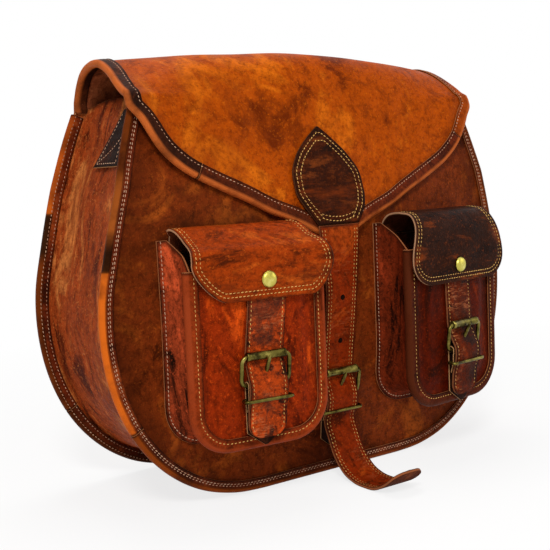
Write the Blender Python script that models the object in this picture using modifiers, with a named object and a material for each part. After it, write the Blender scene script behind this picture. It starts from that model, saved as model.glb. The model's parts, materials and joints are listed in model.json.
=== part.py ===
"""A leather saddle bag: rounded body, wrap-over flap with a leaf-headed strap, two buckled front pockets.

Metres, +Z up. The origin is on the ground under the middle of the front seam; +X is the bag's
left-to-right as seen from the front, and the front faces -Y.
"""

import bisect
import math

import bmesh
import bpy
from mathutils import Matrix, Vector

# Body
HALF_WIDTH = 0.174
MOUTH_HEIGHT = 0.262
BODY_DEPTH = 0.093
PANEL_THICKNESS = 0.0016
GUSSET_THICKNESS = 0.0014
BINDING_THICKNESS = 0.001
SEAM_GAP = 0.0003
BINDING_GAP = 0.0004
EDGE_SHY = 0.0009
BINDING_LEG = 0.0078
FLANGE_WIDTH = 0.0098
GUSSET_BEND = 0.0017
GUSSET_SAG = 0.003
GUSSET_TOP_ARCH = 0.009
GUSSET_TOP_RISE = 0.0045
FRONT_BULGE = 0.0072
BULGE_RUN = 0.085
FRONT_TOP_HEIGHT = 0.256
TOP_LEAN = 0.013
TOP_LEAN_START = 0.168
TOP_LEAN_RUN = 0.095
SEAM_LEAN = 0.0085
BACK_LEAN = 0.007
SEAM_LEAN_START = 0.205
HEM_DEPTH = 0.009
GUSSET_TOP = 0.2565
BINDING_TOP = 0.255

# Main flap
FLAP_THICKNESS = 0.0018
FLAP_STANDOFF = 0.0032
FLAP_CLEAR_RUN = 0.008
FLAP_RISE = 0.0295
FLAP_TOP_HEIGHT = MOUTH_HEIGHT + FLAP_RISE
BINDING_PROUD = 0.0013
FLAP_HALF_WIDTH = 0.148
FLAP_BACK_HALF_WIDTH = 0.1405
FLAP_TIP_HEIGHT = 0.160
FLAP_BACK_GAP = 0.0006
FLAP_BINDING_START = 0.0035
FLAP_BINDING_GAP = 0.0006
LEAF_CLIMB_START = 0.197
LEAF_CLIMB_END = 0.183

# Leaf and straps
LEAF_HALF_WIDTH = 0.0297
LEAF_TOP_HEIGHT = 0.240
LEAF_BOTTOM_HEIGHT = 0.1735
LEAF_SLIP = 0.0028
STRAP_WIDTH = 0.027
STRAP_THICKNESS = 0.002
STRAP_HOLE_RADIUS = 0.0016
STRAP_HOLE_PITCH = 0.030
STRAP_HOLE_FIRST = 0.021
STRAP_HANG = 0.0006
STRAP_FALL = 0.080
STRAP_END_CORNER = 0.009
STRAP_FLARE = 0.0037
STRAP_FLARE_RUN = 0.05
FLOOR_CLEARANCE = 0.0002
TAIL_REACH = 0.079
TAIL_CURL_HEIGHT = 0.0155

# Pockets
POCKET_CENTRE = 0.0855
POCKET_YAW = math.radians(5.8)
POCKET_FRONT_REACH = 0.040
POCKET_HALF_WIDTH = 0.0495
POCKET_BOTTOM = 0.0405
POCKET_CORNER = 0.027
POCKET_TOP_FRONT = 0.154
POCKET_TOP_BACK = 0.172
POCKET_PUFF = 0.002
POCKET_FLANGE = 0.0062
POCKET_BINDING_LEG = 0.0075
POCKET_FLAP_HALF_WIDTH = 0.0508
POCKET_FLAP_ROOT_HALF_WIDTH = 0.0415
POCKET_FLAP_CORNER = 0.017
LOW_FLAP_CORNER = 0.024
LOW_FLAP_FLARE = 0.0037
LOW_FLAP_FLARE_START = 0.0105
LOW_FLAP_FLARE_RUN = 0.005
POCKET_FLAP_CORNER_WIDTH = 0.020
LEFT_FLAP_SLIP = 0.0068
RIGHT_FLAP_SLIP = 0.003
RIGHT_FLAP_SAG = 0.006
LEFT_STUD_SLIP = 0.005
RIGHT_STUD_SLIP = 0.001
RIGHT_BUCKLE_SLIP = 0.003
RIGHT_BUCKLE_DROP = 0.002
POCKET_FLAP_THICKNESS = 0.0018
POCKET_FLAP_HINGE_HEIGHT = 0.1715
POCKET_FLAP_CROWN = 0.1785
POCKET_FLAP_BOTTOM = 0.134
POCKET_FLAP_WELT = 0.008
POCKET_FLAP_SPLIT = 0.013
POCKET_PUFF_START = 0.0138
POCKET_PUFF_RUN = 0.008
POCKET_FOLD = 0.003
STUD_HEIGHT = 0.146
STUD_RADIUS = 0.005
STUD_RISE = 0.0026
STUD_EDGE = 0.0006
STUD_SHANK_RADIUS = 0.0015
RIVET_CLEARANCE = 0.0003

# Buckles
POCKET_ROLLER_HEIGHT = 0.100
CENTRE_ROLLER_HEIGHT = 0.073
CENTRE_BUCKLE_PITCH = math.radians(6.0)
FRAME_LENGTH = 0.018
KEEPER_DROP = 0.027
FRAME_WIRE_RADIUS = 0.0014
FRAME_HALF_WIDTH = 0.0168
FRAME_CORNER = 0.004
ROLLER_RADIUS = 0.0028
ROLLER_LENGTH = 0.0275
ROLLER_BORE_GAP = 0.0003
KEEPER_WIRE_RADIUS = 0.0011
KEEPER_HALF_WIDTH = 0.0165
PRONG_RADIUS = 0.0014
PRONG_LOOP_WIRE = 0.0006
CHAPE_THICKNESS = 0.0012
CHAPE_WIDTH = 0.0265
CHAPE_TIP_DROP = 0.039
CHAPE_POINT = 0.009
CHAPE_UPPER_DROP = 0.0165
STRAP_END_DROP = 0.0335
STRAP_TOP_HEIGHT = 0.157
CONTACT_GAP = 0.0003
KEEPER_CORNER = 0.0018
PRONG_OVER = 0.0015
PRONG_SLOT_GAP = 0.0005
CENTRE_SEAT_GAP = 0.0003

# Side tabs
TAB_TOP_HEIGHT = 0.254
TAB_BOTTOM_HEIGHT = 0.218
TAB_THICKNESS = 0.002
TAB_BOTTOM_WIDTH = 0.0405
TAB_TOP_WIDTH = 0.010
TAB_FRONT_START = 0.0150

CUT_OVERRUN = 0.004
POCKET_ROW = 0.0105
STRAP_ROW = 0.0055
SMALLEST_STEP = 0.0001

# Shares of the body's half width and mouth height, up the side of the outline
OUTLINE_SHARES = (
    (0.345, 0.0), (0.49, 0.0075), (0.638, 0.038), (0.776, 0.099), (0.885, 0.183),
    (0.96, 0.286), (0.998, 0.40), (1.0, 0.52), (0.965, 0.64), (0.92, 0.763),
    (0.862, 0.897), (0.806, 1.0),
)
# Shares of the body's depth and of the rise or drop, along the flap's middle
FLAP_TOP_SHARES = ((1.0, 0.0), (0.93, 0.4), (0.8, 0.76), (0.65, 0.94), (0.45, 1.0), (0.25, 0.95))
FLAP_FRONT_SHARES = (
    (0.135, 0.075), (0.078, 0.19), (0.046, 0.345), (0.0, 0.53), (-0.055, 0.70), (-0.11, 0.85), (-0.145, 1.0),
)
FLAP_SIDE_TOP_SHARES = ((1.0, 0.0), (0.939, 0.273), (0.829, 0.533), (0.691, 0.671), (0.518, 0.706), (0.372, 0.55))
FLAP_SIDE_FRONT_SHARES = (
    (0.206, 0.162), (0.060, 0.236), (-0.038, 0.342), (-0.083, 0.53), (-0.124, 0.70), (-0.179, 0.85), (-0.214, 1.0),
)
# Shares up a pocket's gusset: below 0 is the flange on the bag, above 1 the flange on the front
WEB_SHARES = (-2.0, -1.0, 0.0, 0.5, 1.0, 2.0, 3.0)
POCKET_FLAP_TOP_SHARES = ((0.13, 0.62), (0.33, 0.97), (0.62, 1.0), (0.86, 0.75))
POCKET_FLAP_FRONT_SHARES = ((0.35, 0.17), (0.93, 0.33), (1.0, 0.5), (1.0, 0.75), (1.0, 1.0))
# The same for the left pocket, whose flap lies lower over the mouth
LOW_FLAP_TOP_SHARES = ((0.06, 0.6), (0.17, 1.0), (0.38, 0.78), (0.62, 0.0))
LOW_FLAP_FRONT_SHARES = ((0.15, 0.28), (0.93, 0.39), (1.0, 0.48), (1.0, 0.75), (1.0, 1.0))
POCKET_FLAP_CORNER_BEND = 2.0
LOW_FLAP_CORNER_BEND = 1.5
POCKET_FLAP_SPREAD_START = 0.36
POCKET_FLAP_SPREAD = 0.45
# Shares of the prong's run and of its radius
PRONG_SHARES = ((0.14, 0.6), (0.26, 1.0), (0.6, 1.0), (0.88, 0.9), (1.0, 0.45))
PRONG_CUT_SHARES = (0.16, 0.82)
PRONG_SLOT_TOP_SHARE = 1.45
CHAPE_TIP_SHARE = 0.06
# Shares of the run to the tail's tip and of the height left, then of the curl's height
TAIL_SHARES = ((0.05, 0.72), (0.14, 0.38), (0.27, 0.13), (0.42, 0.02))
TAIL_CURL_SHARES = ((0.56, 0.0), (0.7, 0.05), (0.86, 0.42), (1.0, 1.0))
STRAP_CROWD = 1.12
FOLD_SHARE = 0.5
FOLD_FLAT_SHARE = 0.7
BINDING_JOIN_SHARE = 0.27
FLAP_STEPS = 90
FLAP_ROWS = 32
FLAP_COLUMNS = 14
POCKET_FLAP_ROWS = 12
POCKET_FLAP_COLUMNS = 8
POCKET_FLAP_CROWD = 1.35
WELT_ROWS = 5
POCKET_STEPS = 20
STUD_STEPS = 14
BODY_STEPS = 36
LENGTH_SEARCH = 800
HEM_COLUMNS = 12
BACK_COLUMNS = 10
HEM_STEPS = 10
# Shares of the flap's half width, down its front from the ridge (share of the drop to the tip)
FLAP_WIDTH_SHARES = (
    (0.0, 0.985), (0.12, 1.0), (0.25, 1.0), (0.35, 0.955), (0.49, 0.878),
    (0.59, 0.777), (0.69, 0.605), (0.75, 0.485), (0.82, 0.36), (0.88, 0.22), (0.92, 0.145), (1.0, 0.012),
)
# Shares of the leaf's half width from its top point down
LEAF_WIDTH_SHARES = ((0.0, 0.01), (0.12, 0.36), (0.3, 0.76), (0.5, 0.985), (0.65, 1.0), (0.8, 0.9), (1.0, 0.59))


def monotone(points):
    """A smooth curve through (place, value) points that never overshoots them."""
    xs = [p[0] for p in points]
    ys = [p[1] for p in points]
    steps = [(ys[i + 1] - ys[i]) / (xs[i + 1] - xs[i]) for i in range(len(xs) - 1)]
    slopes = [steps[0]]
    for before, after in zip(steps, steps[1:]):
        slopes.append(2 * before * after / (before + after) if before * after > 0 else 0.0)
    slopes.append(steps[-1])

    def value(x):
        x = min(max(x, xs[0]), xs[-1])
        i = min(max(bisect.bisect_right(xs, x) - 1, 0), len(steps) - 1)
        width = xs[i + 1] - xs[i]
        t = (x - xs[i]) / width
        bend = slopes[i] * (1 - t) ** 2 * t - slopes[i + 1] * (1 - t) * t * t
        return ys[i] * (1 + 2 * t) * (1 - t) ** 2 + ys[i + 1] * t * t * (3 - 2 * t) + width * bend

    return value


def smooth_step(share):
    share = min(max(share, 0.0), 1.0)
    return share * share * (3 - 2 * share)


class Route:
    """A smooth line through points, read by its length."""

    def __init__(self, points, closed_steps=12):
        points = [Vector(p) for p in points]
        line = []
        for i in range(len(points) - 1):
            before = points[max(i - 1, 0)]
            after = points[min(i + 2, len(points) - 1)]
            for k in range(closed_steps):
                line.append(self.between(before, points[i], points[i + 1], after, k / closed_steps))
        line.append(points[-1])
        self.line = line
        self.ends = [0.0]
        for a, b in zip(line, line[1:]):
            self.ends.append(self.ends[-1] + (b - a).length)
        self.length = self.ends[-1]

    @staticmethod
    def between(before, start, end, after, t):
        """Point of the smooth cubic from start to end at share t."""
        reach = (end - start).length
        leave = (end - before).normalized() * reach
        arrive = (after - start).normalized() * reach
        return (
            start * (1 + 2 * t) * (1 - t) ** 2
            + end * t * t * (3 - 2 * t)
            + leave * t * (1 - t) ** 2
            - arrive * t * t * (1 - t)
        )

    def at(self, length):
        """Point at this length; past an end it runs on straight."""
        i = min(max(bisect.bisect_right(self.ends, length) - 1, 0), len(self.line) - 2)
        a, b = self.line[i], self.line[i + 1]
        return a + (b - a) * ((length - self.ends[i]) / (self.ends[i + 1] - self.ends[i]))

    def along(self, length):
        step = self.length / 400
        return (self.at(length + step) - self.at(length - step)).normalized()


def body_outline(inset=0.0, top=MOUTH_HEIGHT):
    """The bag's U outline from the left of the mouth, round the bottom, to the right, moved in by inset."""
    width = monotone([(share_z * MOUTH_HEIGHT, share_x * HALF_WIDTH) for share_x, share_z in OUTLINE_SHARES])
    side = [Vector((share_x * HALF_WIDTH, share_z * MOUTH_HEIGHT)) for share_x, share_z in OUTLINE_SHARES]
    side[-1] = Vector((width(top), top))
    flat = [Vector((side[0].x * share, 0.0)) for share in (-0.5, 0.0, 0.5)]
    points = [Vector((-p.x, p.y)) for p in reversed(side)] + flat + side
    route = Route(points, 8)
    moved = []
    for k in range(len(route.line)):
        along = route.along(route.ends[k])
        point = route.line[k] + Vector((-along.y, along.x)) * inset
        moved.append(Vector((point.x, max(point.y, inset))))
    return moved


class Outline:
    """A moved outline read by its length, with its inward direction."""

    def __init__(self, points):
        self.points = points
        self.ends = [0.0]
        for a, b in zip(points, points[1:]):
            self.ends.append(self.ends[-1] + (b - a).length)
        self.length = self.ends[-1]

    def at(self, length):
        i = min(max(bisect.bisect_right(self.ends, length) - 1, 0), len(self.points) - 2)
        a, b = self.points[i], self.points[i + 1]
        return a + (b - a) * ((length - self.ends[i]) / (self.ends[i + 1] - self.ends[i]))

    def inward(self, length):
        step = self.length / 200
        along = (self.at(length + step) - self.at(length - step)).normalized()
        return Vector((-along.y, along.x))

    def moved(self, length, inset):
        return self.at(length) + self.inward(length) * inset


def make_material(name, colour, roughness, metallic=0.0):
    material = bpy.data.materials.new(name)
    material.use_nodes = True
    shader = material.node_tree.nodes["Principled BSDF"]
    shader.inputs["Base Color"].default_value = (*colour, 1.0)
    shader.inputs["Roughness"].default_value = roughness
    shader.inputs["Metallic"].default_value = metallic
    material.diffuse_color = (*colour, 1.0)
    return material


def leather(name, colour):
    return make_material(name, colour, 0.5)


def brass(name):
    return make_material(name, (0.36, 0.28, 0.10), 0.38, 1.0)


def add_object(name, mesh, collection, material, sharp_degrees=40):
    made = bpy.data.objects.new(name, mesh)
    mesh.materials.append(material)
    mesh.shade_smooth()
    mesh.set_sharp_from_angle(angle=math.radians(sharp_degrees))
    collection.objects.link(made)
    return made


def thicken(made, thickness):
    shell = made.modifiers.new("Thickness", "SOLIDIFY")
    shell.thickness = thickness
    shell.offset = 0.0
    shell.use_even_offset = True
    return shell


def sheet(name, columns, rows, place, thickness, material):
    """An open grid, placed by place(u, v) with u and v from 0 to 1, thickened to leather."""
    build = bmesh.new()
    bmesh.ops.create_grid(build, x_segments=columns, y_segments=rows, size=0.5)
    for vertex in build.verts:
        u = round((vertex.co.x + 0.5) * columns) / columns
        v = round((vertex.co.y + 0.5) * rows) / rows
        vertex.co = place(u, v)
    bmesh.ops.recalc_face_normals(build, faces=build.faces)
    mesh = bpy.data.meshes.new(name)
    build.to_mesh(mesh)
    build.free()
    made = add_object(name, mesh, PARTS, material)
    thicken(made, thickness)
    return made


def wire_mesh(name, points, radius, cyclic, shares=None, sides=2):
    """A round wire along points, as a closed mesh. shares thins or thickens it point by point."""
    curve = bpy.data.curves.new(name, "CURVE")
    curve.dimensions = "3D"
    curve.bevel_depth = radius
    curve.bevel_resolution = sides
    curve.use_fill_caps = True
    curve.resolution_u = 1
    spline = curve.splines.new("POLY")
    spline.points.add(len(points) - 1)
    for i, point in enumerate(points):
        spline.points[i].co = (*point, 1.0)
        spline.points[i].radius = shares[i] if shares else 1.0
    spline.use_cyclic_u = cyclic
    guide = bpy.data.objects.new(name + "_guide", curve)
    bpy.context.scene.collection.objects.link(guide)
    bpy.context.view_layer.update()
    graph = bpy.context.evaluated_depsgraph_get()
    mesh = bpy.data.meshes.new_from_object(guide.evaluated_get(graph))
    build = bmesh.new()
    build.from_mesh(mesh)
    bmesh.ops.remove_doubles(build, verts=build.verts, dist=SMALLEST_STEP / 10)
    bmesh.ops.recalc_face_normals(build, faces=build.faces)
    build.to_mesh(mesh)
    build.free()
    bpy.data.objects.remove(guide)
    mesh.name = name
    return mesh


def turned(name, profile, material, frame, steps=16):
    """A profile of (radius, height) points turned about the frame's Z axis."""
    mesh = bpy.data.meshes.new(name)
    points = [(radius, 0.0, height) for radius, height in profile]
    edges = [(i, i + 1) for i in range(len(points) - 1)]
    mesh.from_pydata(points, edges, [])
    made = add_object(name, mesh, PARTS, material)
    made.matrix_world = frame
    screw = made.modifiers.new("Turn", "SCREW")
    screw.steps = steps
    screw.render_steps = steps
    screw.use_merge_vertices = True
    screw.merge_threshold = SMALLEST_STEP / 10
    return made


def cutter_rod(name, start, end, radius):
    """A hidden round rod that cuts a hole."""
    mesh = bpy.data.meshes.new(name)
    build = bmesh.new()
    reach = Vector(end) - Vector(start)
    turn = reach.to_track_quat("Z", "Y").to_matrix().to_4x4()
    matrix = Matrix.Translation((Vector(start) + Vector(end)) / 2) @ turn
    bmesh.ops.create_cone(
        build, cap_ends=True, segments=10, radius1=radius, radius2=radius, depth=reach.length, matrix=matrix
    )
    build.to_mesh(mesh)
    build.free()
    rod = bpy.data.objects.new(name, mesh)
    CUTTERS.objects.link(rod)
    rod.hide_render = True
    rod.display_type = "WIRE"
    return rod


def cutter_box(name, frame, low, high):
    """A hidden box between two corners in the frame."""
    mesh = bpy.data.meshes.new(name)
    build = bmesh.new()
    bmesh.ops.create_cube(build, size=1.0)
    for vertex in build.verts:
        shares = [co + 0.5 for co in vertex.co]
        vertex.co = frame @ Vector([a + (b - a) * s for a, b, s in zip(low, high, shares)])
    bmesh.ops.recalc_face_normals(build, faces=build.faces)
    build.to_mesh(mesh)
    build.free()
    box = bpy.data.objects.new(name, mesh)
    CUTTERS.objects.link(box)
    box.hide_render = True
    box.display_type = "WIRE"
    return box


def cut(made, cutter):
    boolean = made.modifiers.new("Cut " + cutter.name, "BOOLEAN")
    boolean.operation = "DIFFERENCE"
    boolean.solver = "EXACT"
    boolean.object = cutter


def hold(name, matrix):
    """An empty that carries a moving piece, its origin on the piece's joint axis."""
    empty = bpy.data.objects.new(f"{name}_axis", None)
    PARTS.objects.link(empty)
    empty.matrix_world = matrix
    return empty


def ride(made, empty):
    """Hand a finished object to the empty without moving it."""
    made.parent = empty
    made.matrix_basis = empty.matrix_world.inverted() @ made.matrix_basis
    return made


def clear_scene():
    for old in list(bpy.data.objects):
        bpy.data.objects.remove(old, do_unlink=True)


def distance_to(points, x, z):
    """Least distance from (x, z) to a line of points."""
    spot = Vector((x, z))
    least = HALF_WIDTH
    for a, b in zip(points, points[1:]):
        run = b - a
        share = min(max((spot - a).dot(run) / run.length_squared, 0.0), 1.0)
        least = min(least, (a + run * share - spot).length)
    return least


def side_half_width(z, inset=0.0):
    """Half width of the moved outline at height z."""
    points = [p for p in INSETS.setdefault(inset, body_outline(inset, MOUTH_HEIGHT)) if p.x > 0]
    for a, b in zip(points, points[1:]):
        if a.y <= z <= b.y:
            return a.x + (b.x - a.x) * (z - a.y) / max(b.y - a.y, SMALLEST_STEP / 100)
    return points[-1].x if z > points[-1].y else points[0].x


def seam_y(z, lean):
    """How far the seam leans in towards the mouth at this height."""
    return lean * max(0.0, (z - SEAM_LEAN_START) / (MOUTH_HEIGHT - SEAM_LEAN_START))


def front_mid(x, z):
    """Y of the front panel's middle surface: it bulges in the middle and sags back at the empty mouth."""
    inside = distance_to(OUTLINE, x, z) - FLANGE_WIDTH
    bulge = FRONT_BULGE * smooth_step(inside / BULGE_RUN)
    rise = smooth_step((z - TOP_LEAN_START) / (FRONT_TOP_HEIGHT - TOP_LEAN_START))
    sag = TOP_LEAN * rise * smooth_step(inside / TOP_LEAN_RUN)
    return seam_y(z, SEAM_LEAN) + sag - SEAM_GAP / 2 - PANEL_THICKNESS / 2 - bulge


def front_out(x, z):
    return front_mid(x, z) - PANEL_THICKNESS / 2


def panel_rows(inset, tops):
    """(half width, height) pairs up a panel whose edge is the outline moved in by inset, at the seam's stations."""
    outline = Outline(OUTLINE)
    lengths = [length for length in body_stations(outline, BINDING_TOP) if length > outline.length / 2]
    points = [outline.moved(length, inset) for length in lengths]
    flat = max(p.x for p in body_outline(inset, MOUTH_HEIGHT) if p.x > 0 and p.y < inset + SMALLEST_STEP)
    rows = [(flat, inset)] + [(p.x, p.y) for p in points if p.x > flat and inset * 2 < p.y < tops[0]]
    return rows + [(side_half_width(z, inset), z) for z in tops]


def thinned(rows, least):
    """Rows no nearer to each other than least, with both ends kept."""
    kept = [rows[0]]
    for row in rows[1:-1]:
        if math.dist(row, kept[-1]) >= least and math.dist(row, rows[-1]) >= least / 2:
            kept.append(row)
    return kept + [rows[-1]]


def row_sheet(name, columns, rows, place, thickness, material):
    """A sheet whose rows have their own half widths; place(x, height) gives the point."""

    def at(u, v):
        half, height = rows[round(v * (len(rows) - 1))]
        return place((2 * u - 1) * half, height)

    return sheet(name, columns, len(rows) - 1, at, thickness, material)


def channel(name, outline, stations, legs, half_gap, place, material):
    """A strip folded round an edge. place(point, across) puts a pattern point at a height off the middle."""
    front_leg, back_leg = legs
    fold = half_gap * FOLD_SHARE
    section = [
        (front_leg, half_gap), (fold, half_gap), (0.0, half_gap * FOLD_FLAT_SHARE),
        (0.0, -half_gap * FOLD_FLAT_SHARE), (fold, -half_gap), (back_leg, -half_gap),
    ]

    def at(u, v):
        inset, across = section[round(u * (len(section) - 1))]
        length = stations[round(v * (len(stations) - 1))]
        return place(outline.moved(length, inset + BINDING_THICKNESS / 2), across)

    return sheet(name, len(section) - 1, len(stations) - 1, at, BINDING_THICKNESS, material)


def make_body_panels():
    edge = BINDING_THICKNESS + SEAM_GAP + EDGE_SHY
    rows = panel_rows(edge, (FRONT_TOP_HEIGHT - HEM_DEPTH - SEAM_GAP, FRONT_TOP_HEIGHT))
    row_sheet("front_panel", HEM_COLUMNS, rows, lambda x, z: Vector((x, front_mid(x, z), z)),
              PANEL_THICKNESS, leather("front_leather", (0.30, 0.11, 0.03)))
    back = BODY_DEPTH + SEAM_GAP / 2 + PANEL_THICKNESS / 2
    row_sheet("back_panel", BACK_COLUMNS, panel_rows(edge, (BINDING_TOP, MOUTH_HEIGHT)),
              lambda x, z: Vector((x, back - seam_y(z, BACK_LEAN), z)),
              PANEL_THICKNESS, leather("back_leather", (0.33, 0.12, 0.03)))


def gusset_depth(y):
    """How far in from the outline the gusset's middle surface lies at this depth."""
    return FLANGE_WIDTH + GUSSET_SAG * math.sin(math.pi * min(max(y / BODY_DEPTH, 0.0), 1.0))


def gusset_rise(y):
    """How far the gusset's top edge stands above its front corner at this depth."""
    return GUSSET_TOP_ARCH * math.sin(math.pi * y / BODY_DEPTH) + GUSSET_TOP_RISE * y / BODY_DEPTH


def make_gusset():
    flange = SEAM_GAP / 2 + GUSSET_THICKNESS / 2
    first = BINDING_THICKNESS + SEAM_GAP + EDGE_SHY
    web = [flange + GUSSET_BEND + (BODY_DEPTH - 2 * (flange + GUSSET_BEND)) * k / 4 for k in range(5)]
    section = [(first, flange), (FLANGE_WIDTH - GUSSET_BEND, flange)]
    section += [(gusset_depth(y), y) for y in web]
    section += [(FLANGE_WIDTH - GUSSET_BEND, BODY_DEPTH - flange), (first, BODY_DEPTH - flange)]
    outline = Outline(OUTLINE)
    stations = body_stations(outline, GUSSET_TOP)

    def at(u, v):
        inset, y = section[round(u * (len(section) - 1))]
        k = round(v * (len(stations) - 1))
        end = (k == len(stations) - 1) - (k == 0)
        length = stations[k] + end * gusset_rise(y)
        return place_in_depth(outline.moved(length, inset), y)

    sheet("gusset", len(section) - 1, len(stations) - 1, at, GUSSET_THICKNESS,
          leather("gusset_leather", (0.28, 0.08, 0.03)))


def body_stations(outline, top):
    """Lengths along the body's outline that every piece of the seam shares, ending at height top."""
    fine = [outline.length * k / LENGTH_SEARCH for k in range(LENGTH_SEARCH)]
    trim, knee = (next(length for length in fine if outline.at(length).y <= z) for z in (top, SEAM_LEAN_START))
    marks = [trim, knee, outline.length - knee, outline.length - trim]
    room = outline.length / BODY_STEPS / 2
    inner = [outline.length * k / BODY_STEPS for k in range(BODY_STEPS + 1)]
    inner = [length for length in inner if trim < length < outline.length - trim]
    inner = [length for length in inner if all(abs(length - mark) > room for mark in marks)]
    return sorted(marks + inner)


def place_in_depth(point, y):
    """A body pattern point in space: the depth narrows towards the mouth as the seams lean in."""
    lean = seam_y(point.y, SEAM_LEAN)
    share = y / BODY_DEPTH
    return Vector((point.x, y + lean * (1 - share) - seam_y(point.y, BACK_LEAN) * share, point.y))


def make_body_bindings():
    """Each seam edge is bound with three lengths of folded strip."""
    half_gap = SEAM_GAP / 2 + PANEL_THICKNESS + BINDING_GAP + BINDING_THICKNESS / 2
    outline = Outline(OUTLINE)
    stations = body_stations(outline, BINDING_TOP)
    last = len(stations) - 1
    joins = [0, round(last * BINDING_JOIN_SHARE), round(last * (1 - BINDING_JOIN_SHARE)), last]
    for side, y, facing in (("front", 0.0, -1), ("back", BODY_DEPTH, 1)):
        for k, part in enumerate(("left", "bottom", "right")):
            lengths = stations[joins[k]:joins[k + 1] + 1]
            lengths[0] += SEAM_GAP / 2 if k else 0.0
            lengths[-1] -= SEAM_GAP / 2 if k < 2 else 0.0
            channel(f"{side}_binding_{part}", outline, lengths, (BINDING_LEG, BINDING_LEG), half_gap,
                    lambda point, across, y=y, facing=facing: place_in_depth(point, y + facing * across),
                    leather(f"{side}_binding_{part}_leather", (0.20, 0.06, 0.03)))


def make_hem():
    half_gap = PANEL_THICKNESS / 2 + 2 * SEAM_GAP + BINDING_THICKNESS / 2
    top = FRONT_TOP_HEIGHT + SEAM_GAP + BINDING_THICKNESS + EDGE_SHY
    reach = side_half_width(FRONT_TOP_HEIGHT, BINDING_THICKNESS + SEAM_GAP + EDGE_SHY)
    reach *= 1 - 2 / HEM_COLUMNS
    edge = Outline([Vector((reach * (1 - 2 * k / HEM_STEPS), top)) for k in range(HEM_STEPS + 1)])

    def place(point, across):
        return Vector((point.x, front_mid(point.x, min(point.y, FRONT_TOP_HEIGHT)) - across, point.y))

    lengths = [edge.length * k / HEM_STEPS for k in range(HEM_STEPS + 1)]
    channel("front_hem", edge, lengths, (HEM_DEPTH, HEM_DEPTH), half_gap, place,
            leather("hem_leather", (0.16, 0.05, 0.02)))


def make_tabs():
    clear = GUSSET_THICKNESS / 2 + 2 * CONTACT_GAP + TAB_THICKNESS / 2
    colour = (0.05, 0.02, 0.015)
    for side, word in ((-1, "left"), (1, "right")):

        def at(u, v, side=side):
            z = TAB_BOTTOM_HEIGHT + (TAB_TOP_HEIGHT - TAB_BOTTOM_HEIGHT) * v
            y = TAB_FRONT_START + u * (TAB_BOTTOM_WIDTH + (TAB_TOP_WIDTH - TAB_BOTTOM_WIDTH) * v)
            return place_in_depth(Vector((side * side_half_width(z, gusset_depth(y) - clear), z)), y)

        sheet(f"side_tab_{word}", 3, 3, at, TAB_THICKNESS, leather(f"tab_{word}_leather", colour))


class Flap:
    """The main flap: pattern points (x, length from the hinge) bent over the mouth and down the front."""

    def __init__(self):
        back = BODY_DEPTH + SEAM_GAP / 2 + PANEL_THICKNESS / 2
        hinge = MOUTH_HEIGHT + FLAP_BACK_GAP
        back -= seam_y(hinge, BACK_LEAN)
        rise = FLAP_TOP_HEIGHT - hinge
        drop = FLAP_TOP_HEIGHT - FLAP_TIP_HEIGHT

        def line(tops, fronts):
            points = [(back * a, hinge + rise * b) for a, b in tops]
            return Route([Vector(p) for p in points + [(back * a, FLAP_TOP_HEIGHT - drop * b) for a, b in fronts]])

        self.centre = line(FLAP_TOP_SHARES, FLAP_FRONT_SHARES)
        self.side = line(FLAP_SIDE_TOP_SHARES, FLAP_SIDE_FRONT_SHARES)
        self.length = self.centre.length
        self.ridge = min(range(len(self.centre.line)), key=lambda k: -self.centre.line[k].y)
        self.ridge_length = self.centre.ends[self.ridge]
        self.width = monotone([(share, half * FLAP_HALF_WIDTH) for share, half in FLAP_WIDTH_SHARES])
        half = [Vector((self.half_width(self.length * k / FLAP_STEPS), self.length * k / FLAP_STEPS))
                for k in range(FLAP_STEPS + 1)]
        self.half = [p for p in half if p.x > 0]
        self.outline = Outline(self.half)
        self.stations = [FLAP_BINDING_START]
        count = FLAP_ROWS
        room = self.outline.length - SEAM_GAP - FLAP_BINDING_START
        self.stations += [FLAP_BINDING_START + room * k / count for k in range(1, count + 1)]

    def half_width(self, length):
        if length <= self.ridge_length:
            share = smooth_step(length / self.ridge_length)
            return FLAP_BACK_HALF_WIDTH + (self.width(0.0) - FLAP_BACK_HALF_WIDTH) * share
        drop = (FLAP_TOP_HEIGHT - self.centre.at(length).y) / (FLAP_TOP_HEIGHT - FLAP_TIP_HEIGHT)
        return self.width(drop)

    def beside(self, length):
        """Point of the side line that lies beside this length of the middle line."""
        ends, line = self.centre.ends, self.side.line
        i = min(max(bisect.bisect_right(ends, length) - 1, 0), len(line) - 2)
        return line[i] + (line[i + 1] - line[i]) * ((length - ends[i]) / (ends[i + 1] - ends[i]))

    def surface(self, x, length):
        share = min((x / FLAP_HALF_WIDTH) ** 2, 1.0)
        middle = self.centre.at(length)
        edge = self.beside(length)
        spot = middle + (edge - middle) * share
        y, z = spot.x, spot.y
        over_mouth = (FRONT_TOP_HEIGHT + FLAP_CLEAR_RUN - z) / FLAP_CLEAR_RUN
        if length > self.ridge_length and over_mouth > 0:
            beside = 1 - smooth_step((distance_to(OUTLINE, x, z) - BINDING_LEG) / FLANGE_WIDTH)
            limit = front_out(x, z) - FLAP_STANDOFF - BINDING_PROUD * beside
            near = FLAP_STANDOFF
            over = (y - limit) / near
            soft = near * (max(over, 0.0) if abs(over) > 1 else (over + 1) ** 2 / 4)
            y = y - soft * smooth_step(2 * over_mouth)
        return Vector((x, y, z))

    def bent(self, x, length, across):
        step = FLAP_THICKNESS
        run = self.surface(x, length + step) - self.surface(x, length - step)
        side = self.surface(x + step, length) - self.surface(x - step, length)
        return self.surface(x, length) - side.cross(run).normalized() * across

    def length_at(self, height):
        """Pattern length where the front of the flap's middle is at this height."""
        line = self.centre.line
        for k in range(self.ridge, len(line) - 1):
            if line[k].y >= height >= line[k + 1].y:
                share = (line[k].y - height) / (line[k].y - line[k + 1].y)
                return self.centre.ends[k] + share * (self.centre.ends[k + 1] - self.centre.ends[k])
        return self.length


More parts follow.
